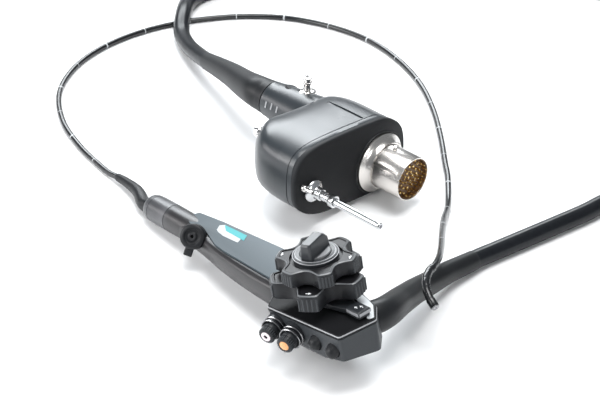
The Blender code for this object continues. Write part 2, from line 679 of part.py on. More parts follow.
def valve(name, foot, mark):
    place = along(BODY, foot, SIDE_NORMAL)
    floor = -VALVE_ROOT_DEPTH + 0.0008
    room = 0.0018
    cylinder_profile = [
        (0.0, floor), (VALVE_BORE, floor), (VALVE_BORE, room), (BUTTON_RADIUS + RUN_GAP, room),
        (BUTTON_RADIUS + RUN_GAP, VALVE_LENGTH), (VALVE_RADIUS - 0.0005, VALVE_LENGTH),
        (VALVE_RADIUS, VALVE_LENGTH - 0.0005), (VALVE_RADIUS, GAP), (VALVE_ROOT_RADIUS, GAP),
        (VALVE_ROOT_RADIUS, -VALVE_ROOT_DEPTH), (0.0, -VALVE_ROOT_DEPTH),
    ]
    turned(name + "_cylinder", cylinder_profile, BLACK_PLASTIC, place)
    bottom = room + BUTTON_TRAVEL + GAP
    top = bottom + BUTTON_LENGTH + 0.0014
    stem = floor + BUTTON_TRAVEL + GAP
    button_profile = [
        (0.0, top), (BUTTON_RADIUS - 0.0022, top - 0.0003), (BUTTON_RADIUS - 0.0006, top - 0.0011),
        (BUTTON_RADIUS, top - 0.0022), (BUTTON_RADIUS, bottom), (BUTTON_STEM, bottom), (BUTTON_STEM, stem),
        (0.0, stem),
    ]
    turned(name + "_button", button_profile, mark, place)
    spring = cord(name + "_spring", helix(0.00255, floor + 0.0006, bottom - 0.0006, 5, 12), 0.0003, STEEL, 1)
    spring.matrix_world = place


valve("suction", SUCTION_FOOT, SUCTION_MARK)
valve("air_water", AIR_WATER_FOOT, AIR_WATER_MARK)
for switch_name, switch_foot in (("remote_switch_1", SWITCH_1_FOOT), ("remote_switch_2", SWITCH_2_FOOT)):
    switch_profile = [
        (0.0, 0.0036), (SWITCH_RADIUS * 0.45, 0.0033), (SWITCH_RADIUS * 0.80, 0.0024), (SWITCH_RADIUS, 0.0008),
        (SWITCH_RADIUS, -0.0028), (0.0, -0.0028),
    ]
    turned(switch_name, switch_profile, BLACK_RUBBER, along(BODY, switch_foot, SWITCH_NORMAL), 24)

# Instrument channel port and its cap
port_place = along(BODY, PORT_SEAT, PORT_NORMAL)
port_bore = cylinder_mesh("port_bore", PORT_RADIUS + GAP, -0.0038, 0.03, 28)
cap_top = PORT_LENGTH + GAP + 0.0030
cap_room = cylinder_mesh("cap_room", CAP_RADIUS + GAP, cap_top - CAP_LENGTH - GAP, 0.03, 36)
port_cutters = [add_cutter("port_bore", port_bore, port_place), add_cutter("cap_room", cap_room, port_place)]
cut(grip, *port_cutters)
cut(plate, *port_cutters)
port_profile = [
    (PORT_RADIUS - 0.0008, PORT_LENGTH), (PORT_RADIUS - 0.0008, 0.0035), (PORT_RADIUS, 0.0030),
    (PORT_RADIUS, -0.0035),
    (0.0018, -0.0035), (0.0018, PORT_LENGTH),
]
turned("channel_port", port_profile, CHROME, port_place, 28)
cap_profile = [
    (CAP_RADIUS - 0.0024, cap_top), (CAP_RADIUS - 0.0005, cap_top - 0.0008), (CAP_RADIUS, cap_top - 0.0018),
    (CAP_RADIUS, cap_top - CAP_LENGTH), (PORT_RADIUS - 0.0008 + GAP, cap_top - CAP_LENGTH),
    (PORT_RADIUS - 0.0008 + GAP, PORT_LENGTH + GAP), (CAP_HOLE, PORT_LENGTH + GAP), (CAP_HOLE, cap_top - 0.0010),
    (CAP_RADIUS - 0.0032, cap_top - 0.0010),
]
cap = turned("channel_cap", cap_profile, BLACK_RUBBER, port_place, 36)
tab_way = port_place.to_3x3().inverted() @ Vector((-0.35, -0.75, -0.56))
tab_turn = Matrix.Rotation(math.atan2(tab_way.y, tab_way.x), 4, "Z")
tab_low = (CAP_RADIUS - 0.0010, -0.0030, cap_top - 0.0046)
tab_high = (CAP_RADIUS + 0.0050, 0.0030, cap_top - 0.0026)
tab = box_mesh("cap_tab", tab_low, tab_high)
join(cap, add_cutter("cap_tab", tab, port_place @ tab_turn))

# Boot of the insertion tube and the tube itself, from the grip to the bending section
chain_ahead = Vector(CHAIN_AHEAD).normalized()
chain_normal = (Vector(CHAIN_NORMAL) - chain_ahead * chain_ahead.dot(CHAIN_NORMAL)).normalized()
chain_axes = Matrix((chain_ahead, chain_normal.cross(chain_ahead), chain_normal)).transposed().to_4x4()
CHAIN = Matrix.Translation(CHAIN_BASE) @ chain_axes
boot_start = tail_place @ Vector((0, 0, TAIL_RING_LENGTH + 2 * GAP))
boot_ahead = [tail_place @ Vector((0, 0, TAIL_RING_LENGTH + step)) for step in (0.0060, 0.0120)]
TUBE_ROUTE = [
    (-0.1464, 0.1995, 0.0042), (-0.1525, 0.2065, 0.0032), (-0.1600, 0.2180, 0.0026), (-0.1764, 0.2452, 0.0024),
    (-0.1932, 0.2844, 0.0024), (-0.2006, 0.3294, 0.0024), (-0.1937, 0.3698, 0.0024), (-0.1758, 0.4044, 0.0024),
    (-0.1471, 0.4336, 0.0024), (-0.1110, 0.4539, 0.0024), (-0.0698, 0.4643, 0.0024), (-0.0275, 0.4623, 0.0024),
    (0.0109, 0.4460, 0.0024), (0.0423, 0.4202, 0.0024), (0.0646, 0.3854, 0.0024), (0.0795, 0.3466, 0.0024),
    (0.0874, 0.3055, 0.0024), (0.0909, 0.2643, 0.0024), (0.0922, 0.2221, 0.0024), (0.0929, 0.2002, 0.0024),
    (0.0908, 0.1638, 0.0028), (0.0856, 0.1296, 0.0110), (0.0822, 0.0943, 0.0213), (0.0799, 0.0666, 0.0298),
    (0.0779, 0.0474, 0.0356), (0.0761, 0.0353, 0.0390), (0.0738, 0.0259, 0.0411),
    tuple(CHAIN @ Vector((-CHAIN_BASE_LENGTH, 0, 0))),
]
boot_ends = [(-0.1300, 0.1745, 0.0070), (-0.1395, 0.1905, 0.0053), TUBE_ROUTE[0]]
boot_route = sampled([boot_start, *boot_ahead, *boot_ends], 0.0035)
boot_radii = []
for i in range(len(boot_route)):
    share = i / (len(boot_route) - 1)
    boot_radii.append(INSERTION_BOOT_RADIUS + (0.0029 - INSERTION_BOOT_RADIUS) * share)
boot_mesh = tapered_mesh("insertion_boot", boot_route, boot_radii, 24)
add_part("insertion_boot", boot_mesh, BLACK_RUBBER, Matrix.Identity(4))


def shortened(points, start, end):
    """The same line with its first point moved in by start and its last by end."""
    first = points[0] + (points[1] - points[0]).normalized() * start
    last = points[-1] + (points[-2] - points[-1]).normalized() * end
    return [first, *points[1:-1], last]


tube_points = shortened(sampled(TUBE_ROUTE, 0.0120), GAP, GAP)
cord("insertion_tube", tube_points, TUBE_RADIUS, TUBE_SKIN)


def link_mesh(name, start, end, opening_back, opening_front, radius_front, sides=24):
    """A round link along x. An end is flat (None) or bevelled about a hinge line (axis, plus side, minus side)."""

    def build(shape):
        rings = []
        ends = ((start, opening_back, LINK_RADIUS, 1), (end, opening_front, radius_front, -1))
        for x, opening, radius, way in ends:
            ring = []
            for k in range(sides):
                angle = 2 * math.pi * k / sides
                y, z = radius * math.cos(angle), radius * math.sin(angle)
                shift = 0.0
                if opening:
                    side = y if opening[0] == "z" else z
                    degrees = opening[1] if side > 0 else opening[2]
                    shift = LINK_GAP / 2 + abs(side) * math.tan(math.radians(degrees))
                ring.append(shape.verts.new((x + way * shift, y, z)))
            rings.append((ring, opening))
        back, front = rings[0][0], rings[1][0]
        for k in range(sides):
            following = (k + 1) % sides
            shape.faces.new((back[k], back[following], front[following], front[k]))
        for ring, opening in rings:
            half = sides // 2
            turn = sides // 4 if opening and opening[0] == "z" else 0
            line = ring[turn:] + ring[:turn]
            if opening:
                shape.faces.new(line[: half + 1])
                shape.faces.new([*line[half:], line[0]])
            else:
                shape.faces.new(line)

    return mesh_from(name, build)


UP_DOWN = ("z", UP_OPENING, DOWN_OPENING)
SIDEWAYS = ("y", SIDE_OPENING, SIDE_OPENING)

# Bending section: base ring, links hinged up-down and sideways in turn, tip
base_mesh = link_mesh("bending_base", -CHAIN_BASE_LENGTH + GAP, 0.0, None, UP_DOWN, LINK_RADIUS)
add_part("bending_base", base_mesh, STEEL, CHAIN)
place, parent = CHAIN, None
for number in range(LINK_COUNT + 1):
    up_down = number % 2 == 0
    if up_down:
        place = place @ Matrix.Rotation(math.radians(REST_BEND), 4, "Z")
    back, front = (UP_DOWN, SIDEWAYS) if up_down else (SIDEWAYS, UP_DOWN)
    last = number == LINK_COUNT
    length = TIP_LENGTH if last else LINK_PITCH
    name = "distal_tip" if last else f"bending_link_{number + 1}"
    mesh = link_mesh(name, 0.0, length, back, None if last else front, TIP_RADIUS if last else LINK_RADIUS)
    link = add_part(name, mesh, CHROME if last else STEEL, place)
    if parent:
        link.parent = parent
        link.matrix_parent_inverse = parent.matrix_world.inverted()
        link.matrix_world = place
    bpy.context.view_layer.update()
    parent = link
    if not last:
        place = place @ Matrix.Translation((LINK_PITCH, 0, 0))

tip = parent
tip_face = place @ Matrix.Translation((TIP_LENGTH, 0, 0)) @ Matrix.Rotation(math.radians(90), 4, "Y")
for name, radius, x, y in (
    ("objective_lens", 0.0008, -0.0007, 0.0), ("light_guide_left", 0.0004, 0.0006, 0.0016),
    ("light_guide_right", 0.0004, 0.0006, -0.0016),
):
    seat = tip_face @ Matrix.Translation((x, y, 0))
    well = cylinder_mesh(name + "_well", radius + 0.0001, -0.0008, 0.002, 20)
    cut(tip, add_cutter(name + "_well", well, seat))
    glass = add_part(name, cylinder_mesh(name, radius, -0.0006, 0.0001, 20), GLASS, seat)
    glass.parent = tip
    glass.matrix_parent_inverse = tip.matrix_world.inverted()
channel = cylinder_mesh("tip_channel", 0.0006, -0.0045, 0.002, 20)
cut(tip, add_cutter("tip_channel", channel, tip_face @ Matrix.Translation((0.0015, 0, 0))))

# Universal cord: boot at the head, run, coil, run, boot at the connector
HEAD_BOOT_ROUTE = [
    (0.0333, -0.0332, 0.0379), (0.0387, -0.0209, 0.0340), (0.0499, 0.0044, 0.0260), (0.0606, 0.0267, 0.0190), 
    (0.0715, 0.0444, 0.0140), (0.0838, 0.0619, 0.0105), (0.0955, 0.0745, 0.0085), (0.1028, 0.0821, 0.0074),
]
head_boot_points = sampled(HEAD_BOOT_ROUTE, 0.0050)
head_boot_radii = []
for i in range(len(head_boot_points)):
    share = max(0.0, i - 3) / (len(head_boot_points) - 4)
    shoulder = min(1.0, 0.80 + 0.07 * i)
    narrowing = (CORD_RADIUS + 0.0004 - CORD_BOOT_RADIUS) * share**0.8
    head_boot_radii.append((CORD_BOOT_RADIUS + narrowing) * shoulder)
head_boot = tapered_mesh("cord_boot", head_boot_points, head_boot_radii, 24)
head_boot = add_part("cord_boot", head_boot, BLACK_RUBBER, Matrix.Identity(4))
above_head = [(x, y, 0.03) for x, y in grown(HEAD_OUTLINE, 2 * GAP)]
head_envelope = loft_mesh("head_envelope", [above_head, *head_levels(0.0, 2 * GAP)])
cut(head_boot, add_cutter("head_envelope", head_envelope, BODY))


def beside_coil(degrees, height):
    """Where a run meets the coil's ring: beside it, on the circle that a cord lying against it follows."""
    out = Vector((math.cos(math.radians(degrees)), math.sin(math.radians(degrees)), 0))
    return Vector((*COIL_CENTRE, height)) + out * (COIL_RADIUS + 2 * CORD_RADIUS + GAP)


HEAD_RUN = [
    HEAD_BOOT_ROUTE[-1], (0.1085, 0.0875, 0.0069), (0.1224, 0.0981, CORD_RADIUS), (0.1443, 0.1144, CORD_RADIUS),
    (0.1667, 0.1312, CORD_RADIUS), (0.1857, 0.1457, CORD_RADIUS), (0.1975, 0.1563, CORD_RADIUS),
    (0.2110, 0.1670, CORD_RADIUS), (0.2242, 0.1776, CORD_RADIUS),
]
cord("universal_cord_head_run", shortened(sampled(HEAD_RUN, 0.0150), 3 * GAP, 0.0), CORD_RADIUS, BLACK_RUBBER, 3)
outer, inner, round_off = COIL_RADIUS + CORD_RADIUS, COIL_RADIUS - CORD_RADIUS, 0.0030
COIL_HEIGHT = 4 * CORD_RADIUS
coil_profile = [
    (outer - round_off, COIL_HEIGHT), (outer, COIL_HEIGHT - round_off), (outer, round_off), (outer - round_off, 0.0),
    (inner + round_off, 0.0), (inner, round_off), (inner, COIL_HEIGHT - round_off), (inner + round_off, COIL_HEIGHT),
]
turned("universal_cord_coil", coil_profile, BLACK_RUBBER, Matrix.Translation((*COIL_CENTRE, 0)), 48)

# Connector boot and the run that reaches it from the coil
NECK_END_X = -FACE_THICKNESS - SHELL_LENGTH - NECK_LENGTH - 4 * GAP
CONNECTOR_BOOT_ROUTE = [
    PLUG @ Vector((NECK_END_X, *NECK_OFFSET)), PLUG @ Vector((NECK_END_X - 0.0070, *NECK_OFFSET)),
    PLUG @ Vector((NECK_END_X - 0.0140, *NECK_OFFSET)), (-0.0545, 0.2830, 0.0352), (-0.0651, 0.3068, 0.0305),
    (-0.0757, 0.3295, 0.0250), (-0.0858, 0.3508, 0.0195),
]
CONNECTOR_RUN = [
    beside_coil(165, 3 * CORD_RADIUS + 0.0006), (0.2290, 0.2000, 0.0204), (0.2380, 0.2300, 0.0175),
    (0.2530, 0.2650, 0.0110), (0.2720, 0.3000, CORD_RADIUS), (0.2930, 0.3500, CORD_RADIUS),
    (0.2960, 0.4100, CORD_RADIUS), (0.2740, 0.4700, CORD_RADIUS), (0.2330, 0.5080, CORD_RADIUS),
    (0.1750, 0.5280, CORD_RADIUS), (0.1000, 0.5360, CORD_RADIUS), (0.0250, 0.5350, CORD_RADIUS),
    (-0.0350, 0.5270, CORD_RADIUS), (-0.0720, 0.5155, CORD_RADIUS), (-0.0948, 0.5007, CORD_RADIUS),
    (-0.1040, 0.4880, 0.0070), (-0.1080, 0.4730, 0.0098), (-0.1094, 0.4556, 0.0120), (-0.1102, 0.4419, 0.0110),
    (-0.1105, 0.4320, 0.0090), (-0.1093, 0.4190, 0.0074), (-0.1032, 0.3955, 0.0102), (-0.0946, 0.3720, 0.0147),
    CONNECTOR_BOOT_ROUTE[-1],
]
connector_boot_points = sampled(CONNECTOR_BOOT_ROUTE, 0.0055)
connector_boot_radii = []
for i in range(len(connector_boot_points)):
    share = i / (len(connector_boot_points) - 1)
    widest, narrowest = NECK_END_RADIUS - 0.0004, CORD_RADIUS + 0.0004
    connector_boot_radii.append(widest + (narrowest - widest) * share**0.8)
connector_boot = tapered_mesh("connector_boot", connector_boot_points, connector_boot_radii, 24)
add_part("connector_boot", connector_boot, BLACK_RUBBER, Matrix.Identity(4))
connector_run = shortened(sampled(CONNECTOR_RUN, 0.0210), 0.0, 3 * GAP)
cord("universal_cord_connector_run", connector_run, CORD_RADIUS, BLACK_RUBBER, 3)

# Connector: face plate, hollow shell, neck
FACE_OUTLINE = [
    (-0.0867, 0.0136), (-0.0862, 0.0219), (-0.0841, 0.0274), (-0.0800, 0.0316), (-0.0724, 0.0346), (-0.0591, 0.0360),
    (-0.0363, 0.0360), (-0.0176, 0.0352), (0.0005, 0.0340), (0.0085, 0.0316), (0.0165, 0.0272), (0.0232, 0.0205),
    (0.0269, 0.0114), (0.0286, -0.0010), (0.0280, -0.0110), (0.0252, -0.0184), (0.0195, -0.0228), (0.0110, -0.0243),
    (0.0020, -0.0245), (-0.0104, -0.0243), (-0.0237, -0.0238), (-0.0408, -0.0226), (-0.0539, -0.0214),
    (-0.0630, -0.0195), (-0.0718, -0.0160), (-0.0785, -0.0112), (-0.0836, -0.0050), (-0.0858, 0.0036),
]
FACE_MIDDLE = Vector((-0.0300, 0.0060))


def outline_at(depth, drawn_in, corner_cut=0.0):
    """The connector's outline at a depth along x, drawn in all round; corner_cut draws in its left end more."""
    ring = []
    for point in FACE_OUTLINE:
        out = Vector(point) - FACE_MIDDLE
        out -= out.normalized() * drawn_in
        out.x += corner_cut * min(1.0, max(0.0, (-0.0550 - point[0]) / 0.0250))
        ring.append((depth, *(FACE_MIDDLE + out)))
    return ring


face_rings = [outline_at(-FACE_THICKNESS, 0.0), outline_at(-0.0010, 0.0), outline_at(0.0, 0.0010)]
face_plate = add_part("connector_face_plate", loft_mesh("connector_face_plate", face_rings), BLACK_PLASTIC, PLUG)
shell_front = -FACE_THICKNESS - GAP
shell_back = shell_front - SHELL_LENGTH
shell_rings = [outline_at(shell_front, 0.0004)]
hollow_rings = [outline_at(0.0010, SHELL_WALL + 0.0004)]
for ahead, drawn_in, corner_cut in (
    (0.0260, 0.0004, 0.0010), (0.0160, 0.0009, 0.0033), (0.0080, 0.0024, 0.0072), (0.0030, 0.0048, 0.0112),
    (0.0, 0.0085, 0.0150),
):
    shell_rings.append(outline_at(shell_back + ahead, drawn_in, corner_cut))
    if ahead > 0.0050:
        hollow_rings.append(outline_at(shell_back + ahead + SHELL_WALL, drawn_in + SHELL_WALL, corner_cut))
shell = add_part("connector_shell", loft_mesh("connector_shell", shell_rings), GREY_PLASTIC, PLUG)
cut(shell, add_cutter("shell_hollow", loft_mesh("shell_hollow", hollow_rings), PLUG))
board = box_mesh("connector_board", (shell_back + 0.0120, -0.0560, -0.0008), (shell_front, 0.0060, 0.0008))
add_part("connector_board", board, GREEN_BOARD, PLUG)
neck_place = along(PLUG, (shell_back - GAP, *NECK_OFFSET), (-1, 0, 0))
neck_profile = [
    (0.0, NECK_LENGTH), (NECK_END_RADIUS, NECK_LENGTH), (NECK_END_RADIUS + 0.0006, NECK_LENGTH - 0.006),
    (NECK_BASE_RADIUS - 0.0018, 0.0140), (NECK_BASE_RADIUS, 0.0), (0.0, 0.0),
]
neck = turned("connector_neck", neck_profile, GREY_PLASTIC, neck_place, 40)
WATER_SEAT = (shell_back - 0.0190, NECK_OFFSET[0] + 0.0055, NECK_OFFSET[1] + 0.0142)
water_place = along(PLUG, WATER_SEAT, (-0.05, -0.05, 1.0))
water_well = cylinder_mesh("water_well", PORT_FLANGE_RADIUS + GAP, -0.0015, 0.02, 28)
cut(neck, add_cutter("water_well", water_well, water_place))
water_profile = [
    (0.0030, 0.0140), (0.0034, 0.0135), (0.0034, 0.0105), (0.0028, 0.0100), (0.0028, 0.0030),
    (PORT_FLANGE_RADIUS - 0.0010, 0.0026), (PORT_FLANGE_RADIUS, 0.0018), (PORT_FLANGE_RADIUS, -0.0012),
    (0.0016, -0.0012), (0.0016, 0.0140),
]
turned("water_port", water_profile, CHROME, water_place, 28)
vent_place = along(PLUG, (shell_back + 0.0060, -0.0660, 0.0225), (-0.85, -0.25, 0.45))
vent_well = cylinder_mesh("vent_well", 0.0035, -0.0060, 0.02, 24)
vent_face = cylinder_mesh("vent_face", 0.0046, 0.0020, 0.02, 24)
cut(shell, add_cutter("vent_well", vent_well, vent_place), add_cutter("vent_face", vent_face, vent_place))
vent_profile = [
    (0.0, 0.0095), (0.0024, 0.0088), (0.0038, 0.0065), (0.0040, 0.0050), (0.0036, 0.0032), (0.0032, 0.0028),
    (0.0032, -0.0050), (0.0, -0.0050),
]
turned("vent_port", vent_profile, CHROME, vent_place, 28)

# Video plug on the face plate
plug_place = along(PLUG, (0, 0, 0), (1, 0, 0))
sleeve_bore = PLUG_SLEEVE_RADIUS - PLUG_SLEEVE_WALL
base_profile = [
    (PLUG_SLEEVE_RADIUS + 0.0013, PLUG_BASE_LENGTH), (PLUG_BASE_RADIUS - 0.0012, 0.0022), (PLUG_BASE_RADIUS, 0.0012),
    (PLUG_BASE_RADIUS, GAP), (PLUG_SLEEVE_RADIUS + GAP, GAP), (PLUG_SLEEVE_RADIUS + GAP, PLUG_BASE_LENGTH),
]
turned("video_plug_base", base_profile, CHROME, plug_place, 48)
sleeve_profile = [
    (PLUG_SLEEVE_RADIUS - 0.0003, PLUG_LENGTH), (PLUG_SLEEVE_RADIUS, PLUG_LENGTH - 0.0004), (PLUG_SLEEVE_RADIUS, GAP),
    (sleeve_bore, GAP), (sleeve_bore, PLUG_LENGTH),
]
turned("video_plug_sleeve", sleeve_profile, CHROME, plug_place, 48)
insert_top = PLUG_LENGTH - PIN_DEPTH - 0.0030
insert = cylinder_mesh("video_plug_insert", sleeve_bore - GAP, GAP, insert_top, 40)
add_part("video_plug_insert", insert, BROWN_INSULATOR, plug_place)


def pin_places():
    """Round rows of contacts about the plug's axis."""
    places = []
    for count, radius in ((1, 0.0), (6, 0.0042), (12, 0.0084), (17, 0.0125)):
        for i in range(count):
            angle = 2 * math.pi * i / count
            places.append((radius * math.cos(angle), radius * math.sin(angle)))
    return places


def build_pins(shape):
    for x, y in pin_places():
        bmesh.ops.create_cone(
            shape, cap_ends=True, segments=6, radius1=PIN_RADIUS, radius2=PIN_RADIUS * 0.7, depth=PIN_DEPTH,
            matrix=Matrix.Translation((x, y, insert_top + GAP + PIN_DEPTH / 2 + 0.0002)),
        )


carrier = cylinder_mesh("video_contacts", sleeve_bore - 0.0010, insert_top + GAP, insert_top + 0.0009, 40)
contacts = add_part("video_contacts", carrier, GOLD, plug_place)
join(contacts, add_cutter("contact_pins", mesh_from("contact_pins", build_pins), plug_place))
key_low = PLUG_SLEEVE_RADIUS + GAP
key_mesh = box_mesh("plug_key", (key_low, -0.0012, PLUG_BASE_LENGTH + 0.0008), (key_low + 0.0016, 0.0012, 0.0315))
add_part("plug_key", key_mesh, CHROME, plug_place @ Matrix.Rotation(math.radians(KEY_TURN), 4, "Z"))
stud_turn = Matrix.Rotation(math.radians(KEY_TURN - 60), 4, "Z") @ Matrix.Rotation(math.radians(90), 4, "Y")
stud_place = plug_place @ Matrix.Translation((0, 0, 0.0145)) @ stud_turn
add_part("bayonet_stud", cylinder_mesh("bayonet_stud", 0.0016, key_low, key_low + 0.0020, 20), CHROME, stud_place)

# Light guide with its rod, and the air pipe left of it
guide_place = along(PLUG, (0, *GUIDE_SEAT), (1, 0, 0))
collar_profile = [
    (0.0, 0.0100), (GUIDE_ROD_RADIUS + 0.0016, 0.0100), (GUIDE_ROD_RADIUS + 0.0018, 0.0052),
    (GUIDE_BASE_RADIUS - 0.0018, 0.0042), (GUIDE_BASE_RADIUS, 0.0026), (GUIDE_BASE_RADIUS, GAP), (0.0, GAP),
]
turned("light_guide_base", collar_profile, STEEL, guide_place, 32)
rod_profile = [
    (0.0, GUIDE_ROD_LENGTH), (GUIDE_ROD_RADIUS - 0.0006, GUIDE_ROD_LENGTH),
    (GUIDE_ROD_RADIUS, GUIDE_ROD_LENGTH - 0.0008),
    (GUIDE_ROD_RADIUS, 0.0100 + GAP), (0.0, 0.0100 + GAP),
]
turned("light_guide_rod", rod_profile, CHROME, guide_place, 24)
rod_collar = [
    (GUIDE_ROD_RADIUS + 0.0018, 0.0220), (GUIDE_ROD_RADIUS + 0.0018, 0.0180), (GUIDE_ROD_RADIUS + GAP, 0.0180),
    (GUIDE_ROD_RADIUS + GAP, 0.0220),
]
turned("rod_collar", rod_collar, CHROME, guide_place, 24)
pipe_place = along(PLUG, (0, *AIR_PIPE_SEAT), (1, 0, 0))
pipe_profile = [
    (AIR_PIPE_RADIUS, AIR_PIPE_LENGTH), (AIR_PIPE_RADIUS, 0.0030), (AIR_PIPE_RADIUS + 0.0010, 0.0026),
    (AIR_PIPE_RADIUS + 0.0010, GAP), (0.0009, GAP), (0.0009, AIR_PIPE_LENGTH),
]
turned("air_pipe", pipe_profile, STEEL, pipe_place, 20)
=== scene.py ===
"""Looks of a flexible endoscope lying on a pale table, dressed over its solids.

Metres, +Z up, floor at z = 0. Long outlines and profiles are written in millimetres.
"""

import math

import bmesh
import bpy
from mathutils import Matrix, Vector


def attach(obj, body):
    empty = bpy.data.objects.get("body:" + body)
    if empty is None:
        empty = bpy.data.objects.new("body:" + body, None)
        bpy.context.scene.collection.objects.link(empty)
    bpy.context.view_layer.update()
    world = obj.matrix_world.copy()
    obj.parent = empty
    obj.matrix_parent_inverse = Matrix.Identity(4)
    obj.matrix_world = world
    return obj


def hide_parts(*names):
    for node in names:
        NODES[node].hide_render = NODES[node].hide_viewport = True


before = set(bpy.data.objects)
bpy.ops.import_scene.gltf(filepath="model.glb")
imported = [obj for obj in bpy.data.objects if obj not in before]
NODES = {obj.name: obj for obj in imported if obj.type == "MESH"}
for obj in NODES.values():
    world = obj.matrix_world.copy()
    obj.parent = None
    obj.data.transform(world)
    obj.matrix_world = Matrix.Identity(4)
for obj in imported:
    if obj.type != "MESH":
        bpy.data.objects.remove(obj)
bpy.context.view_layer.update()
ROOT = "control_body"


def placed(place, heading, pitch, roll):
    """A frame at place: turned to heading, nose raised by pitch, then rolled about its own x axis."""
    turn = Matrix.Rotation(math.radians(heading), 4, "Z")
    rise = Matrix.Rotation(math.radians(-pitch), 4, "Y")
    return Matrix.Translation(place) @ turn @ rise @ Matrix.Rotation(math.radians(roll), 4, "X")


def along(base, place, direction):
    """A frame inside base, at place, whose z axis points along direction."""
    spin = Vector(direction).to_track_quat("Z", "Y").to_matrix().to_4x4()
    return base @ Matrix.Translation(place) @ spin


# Places of the control body, of the connector and of the first bending hinge
WORLD = Matrix.Identity(4)
BODY = placed((0.0, -0.014, 0.041), -52.8, 6.5, 5.0)
PLUG = placed((0.0413, 0.1835, 0.0262), -43.6, -2.5, -2.8)
ahead = Vector((-0.50, -0.86, 0.03)).normalized()
normal = Vector((0.40, -0.25, 0.861))
normal = (normal - ahead * ahead.dot(normal)).normalized()
chain_turn = Matrix((ahead, normal.cross(ahead), normal)).transposed().to_4x4()
CHAIN = Matrix.Translation((0.0690, 0.0160, 0.0420)) @ chain_turn

# Camera
camera = bpy.data.objects.new("camera", bpy.data.cameras.new("camera"))
bpy.context.scene.collection.objects.link(camera)
camera.location = (-0.0142, -1.1727, 0.8091)
camera.rotation_euler = (math.radians(59), 0, 0)
camera.data.lens = 132
camera.data.sensor_width = 36
camera.data.clip_start = 0.05
bpy.context.scene.camera = camera


# Mesh making
def shaped(name, build, place=WORLD):
    """A mesh from a bmesh function, put in its place, closed, with its faces outwards."""
    shape = bmesh.new()
    build(shape)
    bmesh.ops.transform(shape, matrix=place, verts=shape.verts)
    bmesh.ops.remove_doubles(shape, verts=shape.verts, dist=2e-6)
    bmesh.ops.dissolve_degenerate(shape, edges=shape.edges, dist=1e-6)
    bmesh.ops.recalc_face_normals(shape, faces=shape.faces)
    mesh = bpy.data.meshes.new(name)
    shape.to_mesh(mesh)
    shape.free()
    return mesh


def skinned(shape, rings, closed=False):
    """Faces from each ring of points to the next, and from the last to the first; a ring may be one point."""
    rows = [[shape.verts.new(point) for point in ring] for ring in rings]
    for row, following in zip(rows, rows[1:] + rows[:1] if closed else rows[1:]):
        count = max(len(row), len(following))
        for i in range(count):
            j = (i + 1) % count
            near = [row[i % len(row)], row[j % len(row)]]
            far = [following[j % len(following)], following[i % len(following)]]
            corners = list(dict.fromkeys(near + far))
            if len(corners) > 2:
                shape.faces.new(corners)
    return rows


def loft(name, rings, place=WORLD):
    """A solid through rings that all have the same number of points."""

    def build(shape):
        rows = skinned(shape, rings)
        shape.faces.new(rows[0])
        shape.faces.new(rows[-1])

    return shaped(name, build, place)


def lathe(name, profile, place, steps=96):
    """A profile of (radius, z) points turned about z, from axis to axis or closed where it has a bore."""

    def build(shape):
        rings = []
        for radius, z in profile:
            turns = [2 * math.pi * k / steps for k in range(steps if radius > 0 else 1)]
            rings.append([(radius * math.cos(a), radius * math.sin(a), z) for a in turns])
        skinned(shape, rings, closed=profile[0][0] > 0)

    return shaped(name, build, place)


def block(name, low, high, place):
    """A box from its low corner to its high one."""
    size, middle = Vector(high) - Vector(low), (Vector(high) + Vector(low)) / 2
    fitted = Matrix.Translation(middle) @ Matrix.Diagonal((*size, 1))

    def build(shape):
        bmesh.ops.create_cube(shape, size=1.0, matrix=fitted)

    return shaped(name, build, place)


def prism(name, outline, low, high, place):
    return loft(name, [[(x, y, z) for x, y in outline] for z in (low, high)], place)


def rod(name, radius, low, high, place, sides=48):
    return lathe(name, [(0.0, high), (radius, high), (radius, low), (0.0, low)], place, sides)


def carved(mesh, *cutters):
    """The mesh with each cutter mesh taken out of it."""
    made = bpy.data.objects.new(mesh.name, mesh)
    bpy.context.scene.collection.objects.link(made)
    tools = []
    for cutter in cutters:
        tool = bpy.data.objects.new(cutter.name, cutter)
        bpy.context.scene.collection.objects.link(tool)
        tools.append(tool)
        modifier = made.modifiers.new(cutter.name, "BOOLEAN")
        modifier.operation = "DIFFERENCE"
        modifier.solver = "EXACT"
        modifier.use_self = True
        modifier.object = tool
    result = plain(made)
    for tool in tools:
        bpy.data.objects.remove(tool)
    return result


def plain(made):
    """The evaluated mesh of an object, which is removed."""
    bpy.context.view_layer.update()
    evaluated = made.evaluated_get(bpy.context.evaluated_depsgraph_get())
    mesh = bpy.data.meshes.new_from_object(evaluated)
    bpy.data.objects.remove(made)
    return mesh


def mm(*rows):
    """Rows of millimetres, in metres."""
    return [tuple(value / 1000 for value in row) for row in rows]


def tapered(count, first, last, power=0.8):
    """Radii that go from the first to the last, faster at the start where power is under 1."""
    return [first + (last - first) * (i / (count - 1)) ** power for i in range(count)]


def between(a, b, c, d, t):
    """The value at the share t of the way from b to c, on a smooth curve through a, b, c and d."""
    return 0.5 * (2 * b + (c - a) * t + (2 * a - 5 * b + 4 * c - d) * t * t + (3 * b - a - 3 * c + d) * t**3)


def smooth_through(values, steps):
    """Rows of numbers filled in between by a smooth curve through them."""
    ends = [values[0], *values, values[-1]]
    found = []
    for rows in zip(ends, ends[1:], ends[2:], ends[3:]):
        for step in range(steps):
            found.append([between(*column, step / steps) for column in zip(*rows)])
    return [*found, list(values[-1])]


